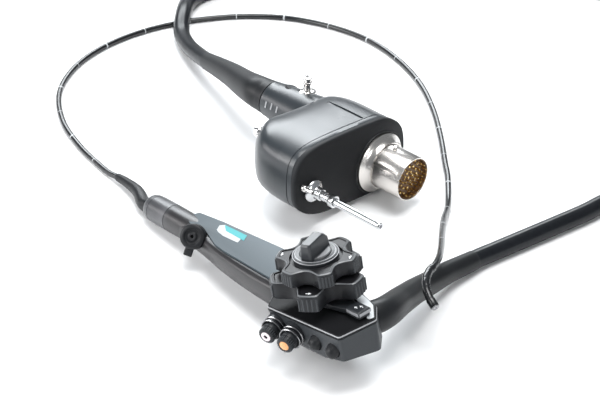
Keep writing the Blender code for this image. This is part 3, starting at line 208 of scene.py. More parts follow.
def sampled(points, spacing):
    """Evenly spaced points along a smooth curve through the given points."""
    points = [Vector(p) for p in points]
    ends = [2 * points[0] - points[1], *points, 2 * points[-1] - points[-2]]
    fine = []
    for a, b, c, d in zip(ends, ends[1:], ends[2:], ends[3:]):
        for step in range(24):
            fine.append(between(a, b, c, d, step / 24))
    fine.append(points[-1])
    length = sum((b - a).length for a, b in zip(fine, fine[1:]))
    count = max(2, round(length / spacing))
    found, walked, target = [fine[0]], 0.0, length / count
    for a, b in zip(fine, fine[1:]):
        stretch = (b - a).length
        while len(found) < count and walked + stretch >= target * len(found):
            found.append(a.lerp(b, (target * len(found) - walked) / stretch))
        walked += stretch
    return [*found, fine[-1]]


def tube(name, points, radii, sides=32):
    """A round solid along points, with its radius at each of them."""
    points = [Vector(p) for p in points]
    rings, side = [], None
    for i, point in enumerate(points):
        way = (points[min(i + 1, len(points) - 1)] - points[max(i - 1, 0)]).normalized()
        side = way.orthogonal().normalized() if side is None else (side - way * side.dot(way)).normalized()
        up = way.cross(side)
        turns = [2 * math.pi * k / sides for k in range(sides)]
        rings.append([point + radii[i] * (side * math.cos(a) + up * math.sin(a)) for a in turns])
    return loft(name, rings)


def rounded(corners, radius=None, steps=4):
    """An outline from (x, y, radius) corners, or (x, y) with one radius for all of them.

    Every corner gives steps + 1 points.
    """
    outline = []
    for i, (x, y, *own) in enumerate(corners):
        r = own[0] if own else radius
        corner = Vector((x, y))
        back = (Vector(corners[i - 1][:2]) - corner).normalized()
        forth = (Vector(corners[(i + 1) % len(corners)][:2]) - corner).normalized()
        half = back.angle(forth) / 2
        if half > math.radians(88) or r <= 0:
            outline += [tuple(corner)] * (steps + 1)
            continue
        centre = corner + (back + forth).normalized() * r / math.sin(half)
        start, end = corner + back * r / math.tan(half), corner + forth * r / math.tan(half)
        first = math.atan2(*(start - centre).yx)
        sweep = math.remainder(math.atan2(*(end - centre).yx) - first, 2 * math.pi)
        for step in range(steps + 1):
            angle = first + sweep * step / steps
            outline.append((centre.x + r * math.cos(angle), centre.y + r * math.sin(angle)))
    return outline


def path_length(points):
    return sum((b - a).length for a, b in zip(points, points[1:]))


# Pieces
def piece(name, mesh, body, finish, replaces=(), bevel=0.0, segments=3, limit=30, smooth=38):
    """One finished piece at the origin: its edges rounded, its finish on, riding on its body."""
    obj = bpy.data.objects.new(name, mesh)
    bpy.context.scene.collection.objects.link(obj)
    mesh.materials.clear()
    mesh.materials.append(finish)
    if bevel:
        modifier = obj.modifiers.new("rounded_edges", "BEVEL")
        modifier.width = bevel
        modifier.segments = segments
        modifier.limit_method = "ANGLE"
        modifier.angle_limit = math.radians(limit)
        modifier.use_clamp_overlap = True
    mesh.shade_smooth()
    mesh.set_sharp_from_angle(angle=math.radians(smooth if not bevel else 60))
    if bevel:
        modifier = obj.modifiers.new("even_shading", "WEIGHTED_NORMAL")
        modifier.keep_sharp = True
    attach(obj, body)
    if replaces:
        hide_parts(*replaces)
    return obj


def turned(name, profile, place, finish, node="", body=ROOT, steps=96):
    """A finished piece off the lathe, in place of the solid of that node if one is named."""
    return piece(name, lathe(name, profile, place, steps), body, finish, (node,) if node else ())


class Number:
    """A shader socket in a sum: each operator adds its Math node."""

    def __init__(self, finish, socket):
        self.finish = finish
        self.socket = socket

    def then(self, operation, *values):
        return self.finish.node("ShaderNodeMath", {"operation": operation}, dict(enumerate((self, *values))))

    def __add__(self, other):
        return self.then("ADD", other)

    def __mul__(self, other):
        return self.then("MULTIPLY", other)

    def __sub__(self, other):
        return self.then("SUBTRACT", other)

    __radd__ = __add__


class Finish:
    """A material built up from procedural nodes round one Principled shader."""

    def __init__(self, name, roughness=0.5, metallic=0.0, fixed=()):
        self.material = bpy.data.materials.new(name)
        self.material.use_nodes = True
        self.tree = self.material.node_tree
        self.shader = self.tree.nodes["Principled BSDF"]
        for socket, value in {"Roughness": roughness, "Metallic": metallic, **dict(fixed)}.items():
            self.shader.inputs[socket].default_value = value

    def node(self, kind, settings=(), inputs=(), out=0):
        made = self.tree.nodes.new(kind)
        for name, value in dict(settings).items():
            setattr(made, name, value)
        for name, value in dict(inputs).items():
            if isinstance(value, Number):
                self.tree.links.new(value.socket, made.inputs[name])
            else:
                made.inputs[name].default_value = value
        return Number(self, made.outputs[out])

    def feed(self, **sockets):
        for name, value in sockets.items():
            self.tree.links.new(value.socket, self.shader.inputs[name.replace("_", " ")])
        return self.material

    def spot(self, place=WORLD, stretch=(1.0, 1.0, 1.0)):
        """Object coordinates, in the piece's own frame."""
        here = self.node("ShaderNodeTexCoord", out="Object")
        inputs = {"Vector": here, "Scale": stretch}
        inputs.update({"Location": place.translation, "Rotation": place.to_euler()})
        return self.node("ShaderNodeMapping", {"vector_type": "TEXTURE"}, inputs)

    def cloud(self, scale, detail=2.0, where=None):
        """Soft noise, in the piece's own frame."""
        here = where or self.node("ShaderNodeTexCoord", out="Object")
        return self.node("ShaderNodeTexNoise", inputs={"Scale": scale, "Detail": detail, "Vector": here})

    def graded(self, value, low, high):
        """From 0 at low to 1 at high."""
        return self.node("ShaderNodeMapRange", inputs={0: value, 1: low, 2: high})

    def mixed(self, factor, first, second):
        first = first if isinstance(first, Number) else (*first, 1)
        second = second if isinstance(second, Number) else (*second, 1)
        return self.node("ShaderNodeMix", {"data_type": "RGBA"}, {0: factor, 6: first, 7: second}, out=2)

    def bumped(self, height, distance):
        return self.node("ShaderNodeBump", inputs={"Height": height, "Distance": distance, "Strength": 1.0})

    def axis(self, where, which):
        return self.node("ShaderNodeSeparateXYZ", inputs={0: where}, out=which)

    def edges(self):
        """1 on outer edges, 0 on flat places."""
        return self.graded(self.node("ShaderNodeNewGeometry", out="Pointiness"), 0.52, 0.60)


SOFT_SHINE = {"Specular IOR Level": 0.22}
FAINT_SHINE = {"Specular IOR Level": 0.12}
EDGE_WEAR = 0.35
STAIN = (0.42, 0.38, 0.33)


def moulded(name, dark, light, roughness, grain=0.00003, scale=2600.0, wear=(0.10, 0.11, 0.12), fixed=()):
    """Moulded plastic: two close tones, a fine eroded grain, edges rubbed a little paler."""
    made = Finish(name, fixed=fixed)
    patches = made.cloud(38.0, 4.0)
    grains = made.cloud(scale, 2.0)
    specks = made.graded(made.cloud(700.0, 3.0), 0.62, 0.78)
    rubbed = made.edges()
    colour = made.mixed(patches, dark, light)
    colour = made.mixed(rubbed * EDGE_WEAR, colour, wear)
    return made.feed(
        Base_Color=made.mixed(specks * 0.05, colour, wear),
        Roughness=roughness + (patches - 0.5) * 0.10 + (grains - 0.5) * 0.06 + rubbed * 0.06,
        Normal=made.bumped(grains, grain),
    )


def turned_metal(name, colour, roughness, place, pitch=0.00022, depth=0.000002):
    """Metal off the lathe: fine rings along the piece's own z axis, handled patches."""
    made = Finish(name, metallic=1.0)
    where = made.spot(place)
    high = made.axis(where, "Z")
    rings = (high * (2 * math.pi / pitch)).then("SINE")
    smears = made.cloud(90.0, 4.0, where)
    streaks = made.cloud(1400.0, 2.0, made.spot(place, (6.0, 6.0, 0.25)))
    return made.feed(
        Base_Color=made.mixed(made.graded(smears, 0.55, 0.80) * 0.20, colour, STAIN),
        Roughness=roughness + (smears - 0.5) * 0.10 + streaks * 0.06,
        Normal=made.bumped(rings * 0.5 + streaks, depth),
    )


def brushed(name, colour, roughness):
    """Brushed metal: long fine scratches along one axis."""
    made = Finish(name, metallic=1.0)
    scratches = made.cloud(2200.0, 3.0, made.spot(stretch=(1.0, 1.0, 1 / 0.06)))
    tone = made.cloud(60.0, 3.0)
    dull = tuple(0.7 * c for c in colour)
    return made.feed(
        Base_Color=made.mixed(tone * 0.5, colour, dull),
        Roughness=roughness + (scratches - 0.5) * 0.16,
        Normal=made.bumped(scratches, 0.000006),
    )


def skin(name, dark, light, roughness, scale, depth, fixed=()):
    """The drawn outer skin of a cord: faint waves from the jacket, a fine matt haze."""
    made = Finish(name, fixed=fixed)
    waves = made.cloud(scale, 3.0)
    haze = made.cloud(1800.0, 2.0)
    handled = made.graded(made.cloud(24.0, 3.0), 0.45, 0.70)
    return made.feed(
        Base_Color=made.mixed(waves * 0.6 + handled * 0.3, dark, light),
        Roughness=roughness + (handled - 0.5) * 0.10 + (haze - 0.5) * 0.08,
        Normal=made.bumped(waves + haze * 0.2, depth),
    )


def printed(name, colour, faded, roughness=0.42):
    """Pad-printed ink: slightly uneven cover over a fine grain."""
    made = Finish(name)
    cover = made.graded(made.cloud(1500.0, 3.0), 0.30, 0.62)
    return made.feed(
        Base_Color=made.mixed(cover, faded, colour),
        Roughness=roughness + (cover - 0.5) * -0.1,
        Normal=made.bumped(cover, 0.000004),
    )


HEAD_BLACK = moulded(
    "satin_head_black", (0.006, 0.0065, 0.008), (0.011, 0.012, 0.014), 0.33, fixed=SOFT_SHINE
)
GRIP_BLACK = moulded("satin_grip_black", (0.011, 0.0105, 0.012), (0.018, 0.0175, 0.019), 0.34)
COVER_BLACK = moulded(
    "matt_cover_black", (0.003, 0.003, 0.0035), (0.005, 0.005, 0.006), 0.50, fixed=FAINT_SHINE
)
WHEEL_BLACK = moulded(
    "grained_wheel_black", (0.006, 0.006, 0.007), (0.011, 0.011, 0.013), 0.38, 0.00004, fixed=SOFT_SHINE
)
# Paler grey of the strip on the wheels' top rims: a painted highlight.
WHEEL_RIM_HIGHLIGHT = moulded("painted_wheel_rim_highlight", (0.10, 0.105, 0.11), (0.16, 0.165, 0.17), 0.26)
KNOB_BLACK = moulded("smooth_knob_black", (0.014, 0.016, 0.019), (0.024, 0.027, 0.031), 0.34)
# Grey of the small grey parts; also the painted highlight on the cover chamfer and the painted reflections on
# the brake knob.
GREY_PARTS_AND_HIGHLIGHTS = moulded("grey_parts_and_painted_highlights", (0.20, 0.21, 0.22), (0.27, 0.28, 0.29), 0.34, wear=(0.4, 0.4, 0.42))
SHELL_GREY = moulded("connector_grey_black", (0.014, 0.018, 0.022), (0.024, 0.029, 0.034), 0.30, 0.00002)
FACE_BLACK = moulded(
    "face_plate_black", (0.007, 0.007, 0.008), (0.011, 0.011, 0.012), 0.50, fixed=FAINT_SHINE
)
PLATE_GREY = moulded(
    "slate_grip_plate", (0.042, 0.057, 0.067), (0.056, 0.074, 0.086), 0.40, 0.00002, wear=(0.26, 0.30, 0.33),
    fixed=FAINT_SHINE,
)
PALE_GREY = moulded("pale_grey_trim", (0.42, 0.45, 0.47), (0.52, 0.55, 0.57), 0.40, wear=(0.7, 0.72, 0.73))
RING_GREY = moulded(
    "dark_end_ring", (0.020, 0.021, 0.024), (0.032, 0.034, 0.038), 0.32, wear=(0.3, 0.3, 0.32)
)
RUBBER = moulded(
    "boot_rubber", (0.007, 0.008, 0.009), (0.013, 0.014, 0.016), 0.42, 0.00003, 1800.0, (0.06, 0.06, 0.065),
    fixed=SOFT_SHINE,
)
CORD_SKIN = skin(
    "universal_cord_jacket", (0.006, 0.007, 0.009), (0.013, 0.015, 0.018), 0.34, 260.0, 0.00006, SOFT_SHINE
)
TUBE_SKIN = skin("insertion_tube_jacket", (0.005, 0.006, 0.007), (0.010, 0.011, 0.013), 0.26, 500.0, 0.00003)
WHITE_INK = printed("white_ink", (0.80, 0.82, 0.83), (0.60, 0.63, 0.65))
MARK_INK = printed("worn_tube_ink", (0.50, 0.52, 0.53), (0.22, 0.23, 0.24))
LABEL_INK = printed("white_label", (0.46, 0.48, 0.49), (0.38, 0.40, 0.41), 0.70)
CYAN_INK = printed("cyan_label", (0.048, 0.30, 0.32), (0.060, 0.34, 0.36), 0.70)
SUCTION_MARK = printed("pale_pink_insert", (0.72, 0.62, 0.66), (0.80, 0.72, 0.75), 0.30)
WATER_MARK = printed("orange_insert", (0.72, 0.32, 0.12), (0.80, 0.42, 0.20), 0.30)
PIN_GOLD = brushed("contact_gold", (0.88, 0.62, 0.24), 0.24)
SPRING_STEEL = brushed("drawn_steel", (0.60, 0.60, 0.61), 0.26)
BROWN = moulded("brown_insulator", (0.085, 0.042, 0.016), (0.13, 0.065, 0.025), 0.42, wear=(0.20, 0.11, 0.05))
BOARD = moulded("circuit_board", (0.02, 0.12, 0.05), (0.03, 0.18, 0.08), 0.45, wear=(0.2, 0.3, 0.2))


def lens_finish():
    """Coated glass: dark, with a faint violet bloom in soft patches."""
    made = Finish("coated_lens", 0.04, fixed={"Coat Weight": 1.0, "Coat Roughness": 0.03})
    bloom = made.cloud(900.0, 1.0)
    return made.feed(
        Base_Color=made.mixed(bloom, (0.010, 0.014, 0.030), (0.050, 0.030, 0.085)),
        Roughness=bloom * 0.04 + 0.03,
    )


LENS = lens_finish()


# Geometry Nodes: copies of one small shape at every vertex of a guide mesh
class Tree:
    """A Geometry Nodes tree with named sizes."""

    def __init__(self, name):
        self.group = bpy.data.node_groups.new(name, "GeometryNodeTree")
        self.inputs = {}
        for way in ("INPUT", "OUTPUT"):
            self.group.interface.new_socket("Geometry", in_out=way, socket_type="NodeSocketGeometry")
        self.start = self.group.nodes.new("NodeGroupInput")

    def size(self, name, value):
        socket = self.group.interface.new_socket(name, in_out="INPUT", socket_type="NodeSocketFloat")
        self.inputs[socket.identifier] = value
        return self.start.outputs[name]

    def node(self, kind, inputs=(), settings=()):
        made = self.group.nodes.new(kind)
        for name, value in dict(settings).items():
            setattr(made, name, value)
        for name, value in dict(inputs).items():
            if isinstance(value, bpy.types.NodeSocket):
                self.group.links.new(value, made.inputs[name])
            else:
                made.inputs[name].default_value = value
        return made.outputs[0]

    def close(self, geometry, finish):
        real = self.node("GeometryNodeRealizeInstances", {"Geometry": geometry})
        painted = self.node("GeometryNodeSetMaterial", {"Geometry": real, "Material": finish})
        self.group.links.new(painted, self.group.nodes.new("NodeGroupOutput").inputs[0])


SMALL_SHAPES = {
    "bar": ("GeometryNodeMeshCylinder", {"Vertices": 10, "Radius": "Radius", "Depth": "Length"}),
    "pin": (
        "GeometryNodeMeshCone",
        {"Vertices": 10, "Radius Top": "Top radius", "Radius Bottom": "Radius", "Depth": "Length"},
    ),
    "band": ("GeometryNodeMeshCylinder", {"Vertices": 28, "Radius": "Radius", "Depth": "Length"}),
}


def copies(name, spots, shape, sizes, finish):
    """A mesh of copies of a small shape, one for each spot.

    A spot is a frame, whose z axis the copy stands along, and a scale.
    """
    guide = bpy.data.meshes.new(name)
    guide.from_pydata([spot.translation for spot, _ in spots], [], [])
    turns = guide.attributes.new("turn", "FLOAT_VECTOR", "POINT")
    scales = guide.attributes.new("share", "FLOAT_VECTOR", "POINT")
    for i, (spot, scale) in enumerate(spots):
        turns.data[i].vector = spot.to_euler()
        scales.data[i].vector = scale
    tree = Tree(name)
    sockets = {label: tree.size(label, value) for label, value in sizes.items()}
    kind, wiring = SMALL_SHAPES[shape]
    small = tree.node(kind, {key: sockets.get(value, value) for key, value in wiring.items()})
    turn = tree.node("GeometryNodeInputNamedAttribute", {"Name": "turn"}, {"data_type": "FLOAT_VECTOR"})
    scale = tree.node("GeometryNodeInputNamedAttribute", {"Name": "share"}, {"data_type": "FLOAT_VECTOR"})
    rotation = tree.node("FunctionNodeEulerToRotation", {"Euler": turn})
    spread = {"Points": tree.start.outputs[0], "Instance": small, "Rotation": rotation, "Scale": scale}
    tree.close(tree.node("GeometryNodeInstanceOnPoints", spread), finish)
    made = bpy.data.objects.new(name, guide)
    bpy.context.scene.collection.objects.link(made)
    modifier = made.modifiers.new("copies", "NODES")
    modifier.node_group = tree.group
    for identifier, value in tree.inputs.items():
        modifier[identifier] = value
    return plain(made)


def ring_spots(base, count, radius, z, share=(1, 1, 1), first=0.0, sweep=360.0):
    """Frames standing along z on a circle, each with its x axis outwards."""
    found = []
    for i in range(count):
        angle = first + sweep * i / count
        turn = Matrix.Rotation(math.radians(angle), 4, "Z")
        found.append((base @ turn @ Matrix.Translation((radius, 0, z)), share))
    return found


# Universal cord: from the head boot, once round its coil, to the connector boot
CORD_RADIUS = 0.0065
COIL_CENTRE = Vector((0.3050, 0.1500, 0.0))
COIL_RADIUS = 0.0720
COIL_FROM = 128
COIL_WIDENING = 0.0133
COIL_LIFT = 0.0136


def laid(*rows):
    """Points of a cord in millimetres, lying on the floor where no height is given."""
    return [(x / 1000, y / 1000, z[0] / 1000 if z else CORD_RADIUS) for x, y, *z in rows]


CORD_START = laid(
    (102.8, 82.1, 7.4), (108.5, 87.5, 6.9), (122.4, 98.1), (144.3, 114.4), (166.7, 131.2),
    (185.7, 145.7), (197.5, 156.3), (211, 167), (224.2, 177.6), (236.5, 187), (248, 196.5),
)
CORD_END = laid(
    (229, 200, 20.4), (238, 230, 17.5), (253, 265, 11), (272, 300), (293, 350), (296, 410), (274, 470),
    (233, 508), (175, 528), (100, 536), (25, 535), (-35, 527), (-72, 515.5), (-94.8, 500.7),
    (-104, 488, 7), (-108, 473, 9.8), (-109.4, 455.6, 12), (-110.2, 441.9, 11), (-110.5, 432, 9),
    (-109.3, 419, 7.4), (-103.2, 395.5, 10.2), (-94.6, 372, 14.7), (-85.8, 350.8, 19.5),
)


def coil_turn():
    """Once round the coil, clockwise from above, rising at the end to lie over the cord that comes in."""
    found = []
    for degrees in range(COIL_FROM, -200, -18):
        rise = min(1.0, max(0.0, (-45 - degrees) / 130))
        drift = max(0.0, (-150 - degrees) / 45)
        radius = COIL_RADIUS + COIL_WIDENING * min(1.0, drift)
        height = CORD_RADIUS + COIL_LIFT * rise * rise * (3 - 2 * rise)
        angle = math.radians(degrees)
        found.append(COIL_CENTRE + Vector((radius * math.cos(angle), radius * math.sin(angle), height)))
    return found


cord_points = sampled([*CORD_START, *coil_turn(), *CORD_END], 0.0060)
cord_points = [Vector((p.x, p.y, max(p.z, CORD_RADIUS + 0.0001))) for p in cord_points]
cord_mesh = tube("universal_cord", cord_points, [CORD_RADIUS] * len(cord_points), 28)
cord_nodes = ("universal_cord_head_run", "universal_cord_coil", "universal_cord_connector_run")
universal_cord = piece("universal_cord", cord_mesh, ROOT, CORD_SKIN, cord_nodes)

# Insertion tube
TUBE_RADIUS = 0.0022
STEPS_BETWEEN_MARKS = 10
TUBE_ROUTE = mm(
    (-146.4, 199.5, 4.2), (-152.5, 206.5, 3.2), (-160, 218, 2.6), (-176.4, 245.2, 2.4),
    (-193.2, 284.4, 2.4), (-200.6, 329.4, 2.4), (-193.7, 369.8, 2.4), (-175.8, 404.4, 2.4),
    (-147.1, 433.6, 2.4), (-111, 453.9, 2.4), (-69.8, 464.3, 2.4), (-27.5, 462.3, 2.4),
    (10.9, 446, 2.4), (42.3, 420.2, 2.4), (64.6, 385.4, 2.4), (79.5, 346.6, 2.4), (87.4, 305.5, 2.4),
    (90.9, 264.3, 2.4), (92.2, 222.1, 2.4), (92.9, 200.2, 2.4), (90.8, 163.8, 2.8), (85.6, 129.6, 11),
    (82.2, 94.3, 21.3), (79.9, 66.6, 29.8), (77.9, 47.4, 35.6), (76.1, 35.3, 39), (73.8, 25.9, 41.1),
)
TUBE_ROUTE.append(tuple(CHAIN @ Vector((-0.0050, 0, 0))))
tube_points = sampled(TUBE_ROUTE, 0.0040)
tube_mesh = tube("insertion_tube_skin", tube_points, [TUBE_RADIUS] * len(tube_points), 20)
insertion_tube = piece("insertion_tube_skin", tube_mesh, ROOT, TUBE_SKIN, ("insertion_tube",))
mark_spots = []
for number, index in enumerate(range(8, len(tube_points) - 12, STEPS_BETWEEN_MARKS)):
    way = tube_points[index + 1] - tube_points[index - 1]
    mark_spots.append((along(WORLD, tube_points[index], way), (1, 1, 1.3 if number % 2 else 0.6)))
sizes = {"Radius": TUBE_RADIUS + 0.00005, "Length": 0.0011}
marks = copies("insertion_marks", mark_spots, "band", sizes, MARK_INK)
piece("insertion_marks", marks, ROOT, MARK_INK)

# Head housing, with the rooms cut in it for what turns or slides
HEAD_OUTLINE = mm(
    (-20, -29.5, 3), (30, -23.7, 1), (44.5, -22, 2.2), (46.5, 6.5, 3), (34.5, 16.5, 4), (15.5, 20.5, 4),
    (-34.2, 21, 1.2), (-34.2, -11, 1.2),
)
HEAD_LOW_OUTLINE = mm(
    (-18, -26, 3), (30, -24, 3), (43, -19.5, 2.5), (50, 4, 4), (38, 15, 4), (16, 19, 4),
    (-34.2, 19.5, 1.2), (-34.2, -9.5, 1.2),
)
SIDE_NORMAL = (0.34, -0.90, -0.10)
SWITCH_NORMAL = (0.12, -0.93, -0.34)
DRUM_ROOM_RADIUS = 0.0125
VALVE_FACE_RADIUS = 0.0079
VALVE_ROOT_RADIUS = 0.0043
SWITCH_BORE = 0.0050
HUB_HOLE_RADIUS = 0.0060
VALVES = {"suction": (-0.0135, -0.0264, -0.0105), "air_water": (0.0032, -0.0248, -0.0112)}
SWITCHES = {"remote_switch_1": (0.0225, -0.0246, -0.0120), "remote_switch_2": (0.0365, -0.0224, -0.0135)}


def head_mesh():
    upper = [Vector((x, y, -0.0028)) for x, y in rounded(HEAD_OUTLINE)]
    lower = [Vector((x, y, -0.0200)) for x, y in rounded(HEAD_LOW_OUTLINE)]
    pad = [BODY.inverted() @ Vector((*((BODY @ p).xy.normalized() * 0.0110), 0.0)) for p in lower]
    belly = [p.lerp(rest, 0.42) - Vector((0, 0, 0.0030)) for p, rest in zip(lower, pad)]
    cutters = [rod("drum_room", DRUM_ROOM_RADIUS, -0.0255, 0.01, BODY)]
    for name, foot in VALVES.items():
        seat = along(BODY, foot, SIDE_NORMAL)
        cutters.append(rod(name + "_face", VALVE_FACE_RADIUS, 0.0, 0.03, seat))
        cutters.append(rod(name + "_root", VALVE_ROOT_RADIUS, -0.0038, 0.01, seat))
    for name, foot in SWITCHES.items():
        cutters.append(rod(name + "_bore", SWITCH_BORE, -0.0042, 0.02, along(BODY, foot, SWITCH_NORMAL)))
    return carved(loft("head_shell", [upper, lower, belly, pad], BODY), *cutters)


piece("head_shell", head_mesh(), ROOT, HEAD_BLACK, ("head_housing",), bevel=0.0007, limit=22)

# Cover plate with a thin grey strip on its chamfer that is a painted highlight, and the pale trim beside the
# brake lever
cover_outline = rounded(HEAD_OUTLINE)
cover_rings = [[(x, y, z) for x, y in cover_outline] for z in (-0.0025, -0.0012)]
cover_rings += [[(x * 0.975, y * 0.965, 0.0) for x, y in cover_outline]]
cover = carved(loft("cover", cover_rings, BODY), rod("cover_hole", HUB_HOLE_RADIUS, -0.01, 0.01, BODY))
piece("cover", cover, ROOT, COVER_BLACK, ("head_cover",), bevel=0.00022, limit=25, segments=2)


STRIP_DEPTH = 0.00012


def strip(name, low, high, place, body, finish):
    """A thin closed strip between two rings of points."""

    def build(shape):
        rings = []
        for ring, drop in ((low, 0.0), (high, 0.0), (high, STRIP_DEPTH), (low, STRIP_DEPTH)):
            rings.append([(x, y, z - drop) for x, y, z in ring])
        skinned(shape, rings, closed=True)

    piece(name, shaped(name, build, place), body, finish)


# Grey strip along the cover's chamfer: a painted highlight.
chamfer_highlight_low = [(x * 1.0005, y * 1.0005, -0.00105) for x, y in cover_outline]
chamfer_highlight_high = [(x * 0.9900, y * 0.9860, -0.00052) for x, y in cover_outline]
strip("painted_chamfer_highlight", chamfer_highlight_low, chamfer_highlight_high, BODY, ROOT, GREY_PARTS_AND_HIGHLIGHTS)
TRIM = mm(
    (14, 18.8, 0.8), (26, 16.8, 4), (33, 14.8, 6), (44.6, 6.2, 1.5), (43.2, 1.6, 1.5), (39.6, 4.2, 4),
    (30, 9, 6), (22.4, 11.4, 6), (14, 13, 0.8),
)
trim = prism("trim", rounded(TRIM), 0.0003, 0.0009, BODY)
piece("trim", trim, ROOT, PALE_GREY, ("head_trim",), bevel=0.0002)

# Grip shell, smooth along its length and round its lower flanks.
# Each section has its x, its left and right side, its depth and its share of roundness.
GRIP_TOP = -0.0018
GRIP_SECTIONS = [
    (-0.0345, -0.0110, 0.0212, 0.0255, 0.0),
    (-0.0450, -0.0128, 0.0213, 0.0250, 0.0),
    (-0.0700, -0.0128, 0.0213, 0.0238, 0.0),
    (-0.1000, -0.0110, 0.0190, 0.0222, 0.0),
    (-0.1310, -0.0070, 0.0166, 0.0202, 0.0),
    (-0.1560, -0.0054, 0.0146, 0.0186, 0.35),
    (-0.1760, -0.0046, 0.0130, 0.0186, 1.0),
]
SECTION_SHAPE = [
    (0.13, 0.00), (0.99, 0.00), (1.00, 0.05), (1.00, 0.32), (0.95, 0.60), (0.84, 0.83), (0.66, 0.97),
    (0.42, 1.00), (0.22, 0.93), (0.07, 0.76), (0.00, 0.50), (0.00, 0.26), (0.04, 0.09),
]
ROUND_TURNS = [118, 62, 40, 14, -14, -42, -68, -94, -120, -148, -176, 158, 138]


def grip_mesh():
    rings = []
    for x, left, right, depth, roundness in smooth_through(GRIP_SECTIONS, 5):
        width, height = right - left, depth + GRIP_TOP
        middle, level = (left + right) / 2, GRIP_TOP - height / 2
        corners = []
        for (a, b), turn in zip(SECTION_SHAPE, ROUND_TURNS):
            angle = math.radians(turn)
            box = Vector((left + a * width, GRIP_TOP - b * height))
            disc = Vector((middle + width / 2 * math.cos(angle), level + height / 2 * math.sin(angle)))
            corners.append(list(box.lerp(disc, min(1.0, max(0.0, roundness)))))
        flank = smooth_through([*corners[1:], corners[0]], 4)
        flank.append([(corners[0][0] + corners[1][0]) / 2, corners[0][1]])
        rings.append([(x, y, z) for y, z in flank])
    return loft("grip", rings, BODY)


PORT = along(BODY, (-0.1368, -0.0040, -0.0046), (0.60, -0.62, 0.50))
CAP_TOP = 0.0113
port_cutters = [
    rod("cap_room", 0.0091, CAP_TOP - 0.0078, 0.03, PORT),
    rod("port_bore", 0.0058, -0.0038, 0.03, PORT),
]
piece("grip", carved(grip_mesh(), *port_cutters), ROOT, GRIP_BLACK, ("grip_shell",), smooth=32)

# Slate plate on the grip, with a blank two-tone label
PLATE_CORNERS = mm(
    (-37.5, -7.4, 0.6), (-98, -6.8, 4), (-111, -5.6, 6), (-130, 0.6, 10), (-150, 0, 6), (-157, 6, 5),
    (-155.2, 12.8, 2), (-131, 16, 10), (-100, 18.4, 6), (-71, 20.7, 4), (-37.5, 20.7, 0.6),
)
plate = carved(prism("plate", rounded(PLATE_CORNERS, steps=8), -0.0015, 0.0, BODY), *port_cutters)
piece("plate", plate, ROOT, PLATE_GREY, ("grip_top_plate",), bevel=0.00035)
LABEL = (
    ("label_field", LABEL_INK, mm(
        (-129, 11.2), (-125.6, 6.5), (-122.5, 5.3), (-115.3, 4.4), (-100, 5.5), (-102.2, 10),
        (-126.2, 14.1),
    )),
    ("label_strip", CYAN_INK, mm((-126.6, 13.9), (-119.2, 9.6), (-98.5, 9.6), (-102.5, 15.2))),
)
for level, (name, ink, corners) in enumerate(LABEL):
    low = 0.00002 + 0.00008 * level
    piece(name, prism(name, rounded(corners, 0.0004), low, low + 0.0001, BODY), ROOT, ink)

# End ring of the grip with the swell before it, and the boot that leads into the insertion tube
TAIL = along(BODY, (-0.1763, 0.0042, GRIP_TOP - 0.0084), (-1, 0, 0))
END = along(BODY, (-0.1763, 0.0042, GRIP_TOP - 0.0069), (-1, 0, 0))
ring_profile = mm(
    (0, 26.8), (7.2, 26.8), (8.4, 26.3), (9.2, 25.2), (9.6, 23.6), (9.8, 20.6), (9.6, 20.4), (9.6, 20),
    (9.9, 19.7), (10, 10), (10, 0.2), (9.7, 0), (0, 0),
)
turned("end_ring", ring_profile, END, RING_GREY, "grip_end_ring")
swell_profile = mm(
    (0, -0.4), (9.8, -0.4), (10, -0.6), (10, -6), (9.9, -14), (9.5, -23), (8.6, -32), (7, -40),
    (0, -40),
)
piece("grip_swell", carved(lathe("grip_swell", swell_profile, END), *port_cutters), ROOT, GRIP_BLACK)
boot_run = [TAIL @ Vector((0, 0, reach)) for reach in (0.0276, 0.0330, 0.0390)]
boot_run += [(-0.1300, 0.1745, 0.0070), (-0.1395, 0.1905, 0.0053), TUBE_ROUTE[0]]
tube_boot = sampled(boot_run, 0.0016)
tube_boot_radii = tapered(len(tube_boot), 0.0056, 0.0029, 1.0)
tube_boot_radii[-1] -= 0.0004
piece("tube_boot", tube("tube_boot", tube_boot, tube_boot_radii), ROOT, RUBBER, ("insertion_boot",))

# Instrument channel port and its cap
port_profile = mm((4.7, 8), (4.7, 3.6), (5.1, 3.2), (5.5, 2.9), (5.5, -3.5), (1.8, -3.5), (1.8, 8))
POLISHED_PORT = turned_metal("polished_port", (0.76, 0.75, 0.74), 0.14, PORT)
turned("port", port_profile, PORT, POLISHED_PORT, "channel_port")
cap_profile = mm(
    (1.2, 10.8), (1.2, 8.3), (5, 8.3), (5, 3.8), (8.4, 3.8), (8.8, 4.2), (8.8, 5.8), (8.5, 6.1),
    (8.5, 6.6), (8.8, 6.9), (8.8, 9.4), (8.6, 10.1), (8.1, 10.7), (7.2, 11.1), (6.4, 11.3), (5.7, 11.1),
    (5.3, 10.4), (4.6, 10.1), (3.5, 10.1), (3.1, 10.6), (2.6, 11), (1.9, 11.1),
)
turned("cap", cap_profile, PORT, RUBBER, "channel_cap")
tab_way = PORT.to_3x3().inverted() @ Vector((-0.35, -0.75, -0.56))
TAB = PORT @ Matrix.Rotation(math.atan2(tab_way.y, tab_way.x), 4, "Z")
cap_tab = block("cap_tab", (0.0078, -0.0030, 0.0067), (0.0138, 0.0030, 0.0087), TAB)
piece("cap_tab", cap_tab, ROOT, RUBBER, bevel=0.0009)


# Finger wheels: flat-topped lobes with scooped hollows, ribbed on their rims, with a paler strip along the
# top rim that is a painted highlight
LOBE_SHARE = 0.31
LOBE_STEPS = 24
WEB_RADIUS = 0.0170


